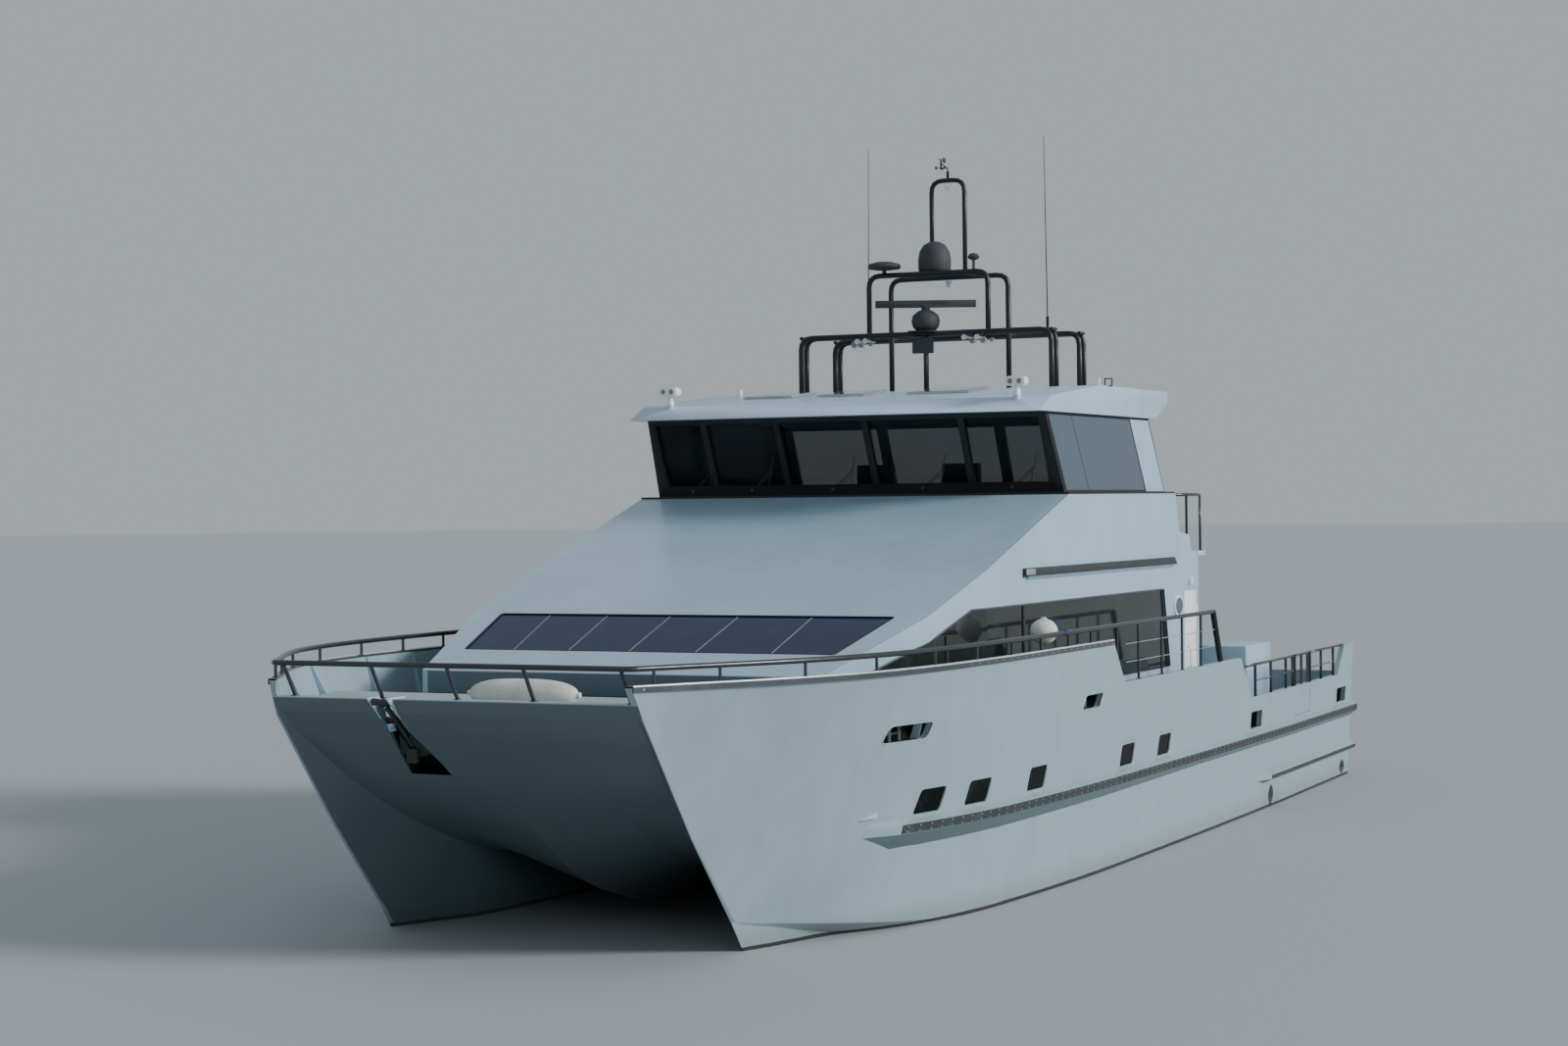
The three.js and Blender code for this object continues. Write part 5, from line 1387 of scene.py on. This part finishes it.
@dataclass
class Wheelhouse(Assembly):
    """Glasshouse, roof and what stands on it."""

    covers: tuple[Cover, ...] = (
        Cover(Paints.COATED, ("wheelhouse_frame",), 0.006),
        Cover(Paints.CLEAR_GLASS, ("windshield", "wheelhouse_window_aft", "wheelhouse_door")),
        Cover(Paints.SIDE_GLASS, both("wheelhouse_window")),
        Cover(Paints.ROOF, ("wheelhouse_roof",), 0.022, edge_angle=12.0),
        Cover(Paints.LEATHER, ("helm_station",), 0.015))
    wall: tuple[Row, ...] = ((4.70, 5.755), (10.0, 9.52), (2.95, 2.865))
    fins: tuple[Row, ...] = ((-2.38, 11.25, 6.12), (2.84, 11.5, 6.145))
    fin: Outline = ((-0.07, 0), (0.07, 0), (0.07, 0.11), (0.055, 0.11))
    ring: Outline = ((2.87, 6.15), (2.87, 6.25), (2.97, 6.25), (2.97, 6.15))
    solar: Outline = ((-1.95, -1.20), (-0.83, -0.13), (0.50, 1.40))
    wiper_x: Row = (-2.4, -1.5, -0.3, 1.0, 2.25)
    lamp: Row = (2.5, 9.5, 5.9655)
    lamp_stem: Outline = (
        (0, 0), (0.052, 0), (0.052, 0.012), (0.030, 0.115), (0.034, 0.13), (0, 0.13))
    lamp_rim: Outline = (
        (0.034, 0), (0.042, 0), (0.042, 0.008), (0.036, 0.010), (0.034, 0.006))
    lamp_lens: Outline = ((0, 0), (0.034, 0), (0.034, 0.003), (0.02, 0.007), (0, 0.008))

    def trim(self) -> None:
        """Side walls, carpet, roof gear, wipers and searchlights."""
        self.walls()
        carpet = box((-2.85, 9.95, 3.862), (2.85, 14.0, 3.868))
        Piece("wheelhouse_carpet", Paints.BLACK).put(carpet)
        self.roof_gear()
        self.wipers()
        self.searchlights()

    def side_plate(self, low: float, high: float, ahead: float, astern: float,
                   proud: float) -> Mesh:
        """A plate on the raked port wall.

        Args:
            low: its lower edge, as a share of the wall's height.
            high: its upper edge, the same way.
            ahead: its forward edge, in metres abaft the windshield.
            astern: its after edge, the same way.
            proud: how far it stands out from the wall.

        Returns:
            A new mesh.
        """
        rows = []
        for share in (low, high):
            z, front, half = (a + (b - a) * share for a, b in self.wall)
            rows.append([pt(half + out, front + run, z) for out, run in (
                (-0.004, ahead), (proud, ahead), (proud, astern), (-0.004, astern))])
        return loft(rows)

    def walls(self) -> None:
        """Flush side panes with a seam, and painted plates abaft them behind a thin dark line."""
        for name, finish, low, high, runs, proud in (
                ("wheelhouse_side_seal", Paints.SEAL, 0.015, 0.99, [(0.05, 3.335)], 0.0035),
                ("wheelhouse_flush_pane", Paints.SIDE_GLASS, 0.05, 0.965,
                 [(0.09, 0.935), (0.950, 3.29)], 0.007),
                ("wheelhouse_pillar", Paints.CABIN, 0.03, 0.97, [(3.34, 4.13)], 0.008)):
            pair(name, finish, [self.side_plate(low, high, *run, proud) for run in runs])

    @staticmethod
    def slope_z(at: float) -> float:
        """Height of the roof's front slope at a station."""
        return 5.955 + (6.15 - 5.955) / (11.48 - 9.56) * (at - 9.56)

    def roof_gear(self) -> None:
        """Light wedge fins, a dark ring beside the port one, and thin solar panels."""
        Piece("roof_fins", Paints.GELCOAT).put(*(
            prism([pt(x + dx, at, z + dz) for dx, dz in self.fin], (0, 0.05, 0), 0.006)
            for x, at, z in self.fins))
        loop = [pt(x, 11.85, z) for x, z in self.ring]
        Piece("roof_ring", Paints.COATED).put(tube(loop, 0.012, 6, closed=True))
        for name, finish, inset, low, high in (("solar_panels", Paints.ALLOY, 0.0, 0.004, 0.030),
                                               ("solar_cells", Paints.SOLAR, 0.03, 0.026, 0.034)):
            a0, a1 = 10.60 + inset, 11.42 - inset
            side = [(at, self.slope_z(at) + z)
                    for at, z in ((a0, low), (a0, high), (a1, high), (a1, low))]
            Piece(name, finish).put(
                *(across(side, x0 + inset, x1 - inset) for x0, x1 in self.solar))

    def wipers(self) -> None:
        """Pantograph wipers parked on the windshield."""
        made = []
        blade, aside = Vector((0.07, -0.085, 0.20)), Vector((0.03, 0, 0))
        for x in self.wiper_x:
            base, tip = Vector(pt(x, 9.965, 4.80)), Vector(pt(x + 0.34, 9.835, 5.06))
            made += [
                tube([base, tip], 0.006, 6),
                tube([base + aside, tip + aside - Vector((0, 0, 0.02))], 0.004, 6),
                tube([tip - blade, tip + blade * 0.9], 0.006, 6),
                turned([(0, 0), (0.025, 0), (0.025, 0.025), (0, 0.03)], base, (0, -1, 0), 12)]
        Piece("wipers", Paints.BLACK).put(*made)

    def searchlights(self) -> None:
        """Twin-eyed lamp heads on their turning bases."""
        x, at, z = self.lamp
        corners = Opening(x - 0.135, x + 0.135, z + 0.118, z + 0.243, 0.0, 0.06).outline(0.0, 5)
        for side in Side:
            rims, lenses = ([turned(profile, pt(x + dx, at - 0.084, z + 0.18), (0, -1, 0), 20)
                             for dx in (-0.062, 0.062)]
                            for profile in (self.lamp_rim, self.lamp_lens))
            head = prism([pt(cx, at - 0.085, cz) for cx, cz in corners], (0, 0.15, 0), 0.012)
            whole = joined([turned(self.lamp_stem, pt(x, at, z)), head, *rims])
            name = side.named("searchlight")
            Piece(f"{name}_head", Paints.GELCOAT, name, stands_for=(name,)).put(
                on_side(whole, side))
            Piece(f"{name}_lens", Paints.LENS, name).put(on_side(joined(lenses), side))


@dataclass
class Mast(Assembly):
    """The tubular truss with its sensors."""

    covers: tuple[Cover, ...] = (
        Cover(Paints.COATED, ("mast_front", "mast_aft"), sharp=55.0),
        Cover(Paints.BLACK, ("satellite_dome", "radar_pedestal"), sharp=60.0),
        Cover(Paints.BLACK, ("radar_scanner",), 0.012, 40.0),
        Cover(Paints.BLACK, ("wind_cups", "wind_vane"), sharp=50.0))
    hoop: tuple[Row, Row] = ((-0.67, 12.59, 7.885), (0.70, 12.59, 7.885))
    disc: Outline = ((0, 0.045), (0.10, 0.045), (0.22, 0.06), (0.24, 0.09), (0.22, 0.13),
                     (0.12, 0.16), (0, 0.165))
    stalk: Outline = ((0, 0), (0.03, 0), (0.03, 0.05), (0, 0.05))
    mushroom: Outline = ((0, 0), (0.02, 0), (0.02, 0.12), (0.07, 0.14), (0.085, 0.17),
                         (0.06, 0.21), (0, 0.225))
    lamp: Outline = ((0, 0), (0.045, 0), (0.05, -0.03), (0.03, -0.09), (0, -0.1))
    floods: Outline = ((-1.052, 0.048), (-0.948, 0.048), (-0.795, 0.030), (0.755, 0.048),
                       (0.918, 0.048), (1.043, 0.030))
    flood_z: float = 6.868

    def trim(self) -> None:
        """Round aerials at the ends of the middle hoop, lamps and horns."""
        left, right = (pt(*place) for place in self.hoop)
        Piece("disc_antenna", Paints.BLACK, sharp=50).put(
            turned(self.disc, left, steps=32), turned(self.stalk, left))
        Piece("mushroom_antenna", Paints.BLACK, sharp=50).put(turned(self.mushroom, right))
        Piece("mast_lamps", Paints.GELCOAT, sharp=50).put(
            *(turned(self.lamp, pt(0.0, 13.38, z), steps=16) for z in (7.80, 9.20)))
        self.floodlights()
        self.horns()

    def floodlights(self) -> None:
        """Paired floodlights under the lower bar and a case between them."""
        shells, lenses, arms = [], [], []
        for x, r in self.floods:
            place = pt(x, 12.44, self.flood_z)
            shells.append(turned([(0, 0), (r * 0.6, 0), (r, 0.03), (r, 0.075), (r * 0.86, 0.08),
                                  (r * 0.86, 0.07), (0, 0.07)], place, (0, -1, 0), 20))
            lenses.append(turned([(0, 0.069), (r * 0.84, 0.069), (r * 0.84, 0.072),
                                  (r * 0.5, 0.076), (0, 0.077)], place, (0, -1, 0), 20))
            arms.append(box((x - 0.008, 12.41, self.flood_z + r * 0.8), (x + 0.008, 12.44, 6.96)))
        Piece("floodlights", Paints.STEEL, sharp=40).put(*shells)
        Piece("floodlight_lenses", Paints.LENS, sharp=40).put(*lenses)
        Piece("floodlight_arms", Paints.COATED).put(*arms)
        Piece("signal_case", Paints.BLACK).put(
            box((-0.155, 12.36, 6.713), (0.155, 12.42, 6.931), 0.008),
            box((-0.03, 12.39, 6.92), (0.03, 12.42, 6.97)))

    @staticmethod
    def horns() -> None:
        """Pairs of trumpets under the lower bar."""
        Piece("horns", Paints.STEEL, sharp=50).put(*(
            turned([(0.045, 0), (0.028, 0.06), (0.014, 0.16), (0.012, size), (0, size), (0, 0.02),
                    (0.04, 0.0)], pt(side.value * x, 12.41 - size, 6.90), (0, 1, 0), 16)
            for side in Side for x, size in ((0.75, 0.34), (0.91, 0.26))))


@dataclass
class DeckGear(Assembly):
    """Rails, anchor, hatches, cabinet and fenders."""

    covers: tuple[Cover, ...] = (
        Cover(Paints.RAIL, ("aft_rail_port", "aft_rail_quarter", "aft_rail_starboard",
                            "upper_rail"), sharp=60.0),
        Cover(Paints.ANCHOR, ("anchor",), 0.004),
        Cover(Paints.CABIN, ("aft_cabinet",), 0.02),
        Cover(Paints.DECK, both("engine_hatch"), 0.008),
        Cover(Paints.IRON, both("engine"), 0.03))
    high_posts: Row = (0.25, 0.89, 1.78, 2.77, 3.87, 4.87, 5.83, 6.74, 7.66, 8.46)
    low_posts: Outline = ((9.44, 2.60), (10.28, 2.33), (11.24, 2.33), (12.13, 2.33), (12.99, 2.33))
    front_posts: Row = (-1.98, -0.90, 0.0, 0.89, 1.99)
    wire_at: Row = (9.78, 10.43, 11.44, 12.31, 13.16, 13.64)
    cheek: Outline = ((-0.03, 2.715), (0.30, 2.715), (0.50, 2.34), (0.395, 2.34))
    roller: Outline = ((0, -0.09), (0.040, -0.09), (0.026, 0.0), (0.040, 0.09), (0, 0.09))

    def trim(self) -> None:
        """All gear on the decks that isn't in the CAD."""
        self.deck_rail()
        self.bow_roller()
        self.gate()
        self.cabinet_doors()
        self.guard_wires()
        self.long_fender()
        self.ball_fender()

    def deck_rail(self) -> None:
        """The round rail from gate to gate about the bow, on posts with foot plates."""
        run = [0.03, 0.17, *(0.3 + 0.3 * k for k in range(44)), 13.64]
        port = [Vector(cap_pt(at, RAIL_Z, -0.055)) for at in run]
        starboard = [Vector((-p.x, p.y, p.z)) for p in port]
        front = bent([*reversed(port[:2]), *starboard[:2]], 0.10)
        parts = [tube([*reversed(port[2:]), *front, *starboard[2:]], 0.029, 12)]
        posts = [(at, -0.047, CAP_Z + 0.008) for at in self.high_posts]
        posts += [(at, -0.05, foot) for at, foot in self.low_posts]
        for at, out, foot in posts:
            post = tube([cap_pt(at, RAIL_Z, out), cap_pt(at, foot, out)], 0.017)
            plate = self.foot_plate(cap_pt(at, foot, out), 0.036)
            parts += [mirrored(post), mirrored(plate), post, plate]
        for x in self.front_posts:
            place = pt(x, 0.24, FRONT_EDGE_Z)
            parts += [tube([pt(x, 0.03, RAIL_Z), place], 0.021), self.foot_plate(place, 0.045)]
        Piece("deck_rail_skin", Paints.RAIL, sharp=50, stands_for=("deck_rail",)).put(*parts)

    @staticmethod
    def foot_plate(place: Point, radius: float) -> Mesh:
        """The round plate under a post."""
        return turned([(0, 0), (radius, 0), (radius, 0.006), (0, 0.006)], place, steps=16)

    def bow_roller(self) -> None:
        """Cheek plates and rollers at the notch that the anchor's shank lies in."""
        Piece("bow_roller_cheeks", Paints.ROOF).put(
            *(across(self.cheek, x, x + 0.016) for x in (-0.925, -0.69)))
        Piece("bow_rollers", Paints.BLACK).put(
            *(turned(self.roller, pt(-0.799, at, z), (1, 0, 0), 20)
              for at, z in ((0.06, 2.67), (0.20, 2.64))))

    @staticmethod
    def gate() -> None:
        """The gate's painted leaf, and its own length of rail."""
        name = "boarding_gate"
        halves = []
        for keep_low in (True, False):
            bm = node_copy(name)
            cut = bmesh.ops.bisect_plane(
                bm, geom=[*bm.verts, *bm.edges, *bm.faces], plane_co=(0, 0, 1.7205),
                plane_no=(0, 0, 1), clear_outer=keep_low, clear_inner=not keep_low)["geom_cut"]
            edges = [g for g in cut if isinstance(g, bmesh.types.BMEdge)]
            if edges:
                bmesh.ops.contextual_create(bm, geom=edges)
            halves.append(bm)
        Piece("boarding_gate_leaf", Paints.HULL, name, stands_for=(name,)).put(halves[0])
        Piece("boarding_gate_rail", Paints.RAIL, name, sharp=60).put(halves[1])

    @staticmethod
    def cabinet_doors() -> None:
        """Two door leaves and handles on the cabinet's inboard face."""
        leaves = ((18.65, 19.27), (19.33, 19.95))
        Piece("cabinet_doors", Paints.CABIN).put(
            *(box((1.592, a0, 1.28), (1.60, a1, 2.22), 0.003) for a0, a1 in leaves))
        Piece("cabinet_handles", Paints.STEEL).put(
            *(box((1.575, a1 - 0.12, 1.8), (1.593, a1 - 0.09, 1.95), 0.004) for _, a1 in leaves))

    def guard_wires(self) -> None:
        """Wires between the posts abreast the side decks, and the slanted posts that end them."""
        pair("guard_wires", Paints.STEEL, [
            tube([cap_pt(at, z, -0.05) for at in self.wire_at], 0.005, 6) for z in (2.57, 2.80)])
        x = FORM.side_x(13.8, 2.7) - 0.05
        post = tube([pt(x, 13.60, RAIL_Z), pt(x, 13.93, 2.352)], 0.042, 14)
        pair("rail_end_post", Paints.COATED, [post], 60)

    @staticmethod
    def long_fender() -> None:
        """The long fender laid on the foredeck."""
        low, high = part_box("foredeck_fender")
        r, half = (high.z - low.z) / 2, (high.x - low.x) / 2
        end = [(0.0, half), (0.028, half - 0.002), (0.030, half - 0.03)]
        crown = [-math.cos(math.pi * k / 20) for k in range(1, 20)]
        profile = [(radius, -x) for radius, x in end]
        profile += [(r * (1 - abs(s) ** 2.8) ** (1 / 2.3), s * (half - 0.03)) for s in crown]
        skin = turned([*profile, *reversed(end)], (low + high) / 2, (1, 0, 0), 40)
        fender = Piece("long_fender", Paints.FENDER, sharp=60, stands_for=("foredeck_fender",))
        fender.put(skin)

    def ball_fender(self) -> None:
        """The ball fender on the rail."""
        low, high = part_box("rail_fender")
        middle, r, top = (low + high) / 2, (high.x - low.x) / 2, high.z
        rows = [(0.0, low.z)]
        rows += [(r * math.sin(a), middle.z - (top - low.z) / 2 * 0.9 * math.cos(a))
                 for a in (math.pi * k / 12 for k in range(1, 12))]
        rows += [(0.035, top - 0.02), (0.03, top - 0.003), (0.0, top)]
        skin = turned(rows, (middle.x, middle.y, 0.0), steps=32)
        fender = Piece("ball_fender", Paints.FENDER, sharp=60, stands_for=("rail_fender",))
        fender.put(skin)
        self.lashing(middle.x, middle.y, top + 0.004)

    @staticmethod
    def lashing(cx: float, cy: float, eye_z: float) -> None:
        """Turns of blue line from the ball fender's eye round the rail.

        Args:
            cx: the eye's X.
            cy: its Y.
            eye_z: its height.
        """
        x, y, r = FORM.side_x(cy + HALF_LENGTH, CAP_Z) - 0.055, cy + 0.16, 0.030
        turns = [tube([(x + r * math.cos(a), y + 0.013 * k, RAIL_Z + r * math.sin(a))
                       for a in angles(16)], 0.006, 6, closed=True) for k in range(5)]
        lead = bent([(cx + 0.01, cy, eye_z), (cx + 0.06, cy + 0.05, eye_z), (x, y, 3.085)], 0.03)
        Piece("fender_lashing", Paints.ROPE).put(*turns, tube(lead, 0.006, 6))


@dataclass
class Running(Assembly):
    """Shafts, propellers and rudders under the hull."""

    covers: tuple[Cover, ...] = (
        Cover(Paints.STEEL, both("shaft"), sharp=40.0),
        Cover(Paints.BRONZE, both("propeller"), sharp=40.0),
        Cover(Paints.BRONZE, both("rudder"), 0.003, 40.0))


@dataclass
class Studio:
    """Camera, lights and floor."""

    focal: float = 61.508
    film: float = 36.0
    azimuth: float = 25.765
    pitch: float = -0.4503
    roll: float = -0.6650
    eye: Point = (14.636, -33.434, 4.642)
    floor_colour: Colour = (0.42, 0.45, 0.47)
    sky_colour: Colour = (0.84, 0.93, 1.0)
    sky_strength: float = 0.48
    lamps: tuple[tuple[str, Point, float, float], ...] = (
        ("key", (30.0, 4.0, 13.0), 3.0, 14.0), ("glint", (22.0, -16.0, 1.2), 0.35, 20.0))

    def camera(self) -> None:
        """Places the camera at the photograph's viewpoint."""
        az, pitch, roll = (math.radians(v) for v in (self.azimuth, self.pitch, self.roll))
        level = Vector((math.cos(az), math.sin(az), 0))
        ahead = Vector((-math.sin(az) * math.cos(pitch), math.cos(az) * math.cos(pitch),
                        math.sin(pitch)))
        up = level.cross(ahead)
        right = level * math.cos(roll) + up * math.sin(roll)
        upright = up * math.cos(roll) - level * math.sin(roll)
        data = bpy.data.cameras.new("camera")
        data.lens, data.sensor_width, data.clip_end = self.focal, self.film, 500.0
        cam = linked("camera", data)
        basis = Matrix((right, upright, -ahead)).transposed().to_4x4()
        cam.matrix_world = Matrix.Translation(self.eye) @ basis
        bpy.context.scene.camera = cam

    def floor(self) -> None:
        """A plain pale floor at the waterline."""
        bm = bmesh.new()
        bmesh.ops.create_grid(bm, x_segments=2, y_segments=2, size=400.0)
        floor = loose("floor", bm)
        floor.data.materials.append(Graph("floor").surface({
            "Base Color": rgba(self.floor_colour), "Roughness": 0.75}))

    def lights(self) -> None:
        """A soft sun from port, a low glint off the water and a pale sky."""
        world = bpy.data.worlds.new("sky")
        bpy.context.scene.world = world
        world.use_nodes = True
        back = world.node_tree.nodes["Background"]
        back.inputs[0].default_value = rgba(self.sky_colour)
        back.inputs[1].default_value = self.sky_strength
        for name, place, power, spread in self.lamps:
            data = bpy.data.lights.new(name, "SUN")
            data.energy, data.angle = power, math.radians(spread)
            lamp = linked(name, data)
            lamp.rotation_euler = (-Vector(place)).to_track_quat("-Z", "Y").to_euler()


def main() -> None:
    """Builds everything in order."""
    studio = Studio()
    studio.camera()
    for part in (Hull(), Cabin(), Wheelhouse(), Mast(), DeckGear(), Running()):
        log.info("building %s", type(part).__name__)
        part.build()
    studio.floor()
    studio.lights()


if __name__ == "__main__":
    main()
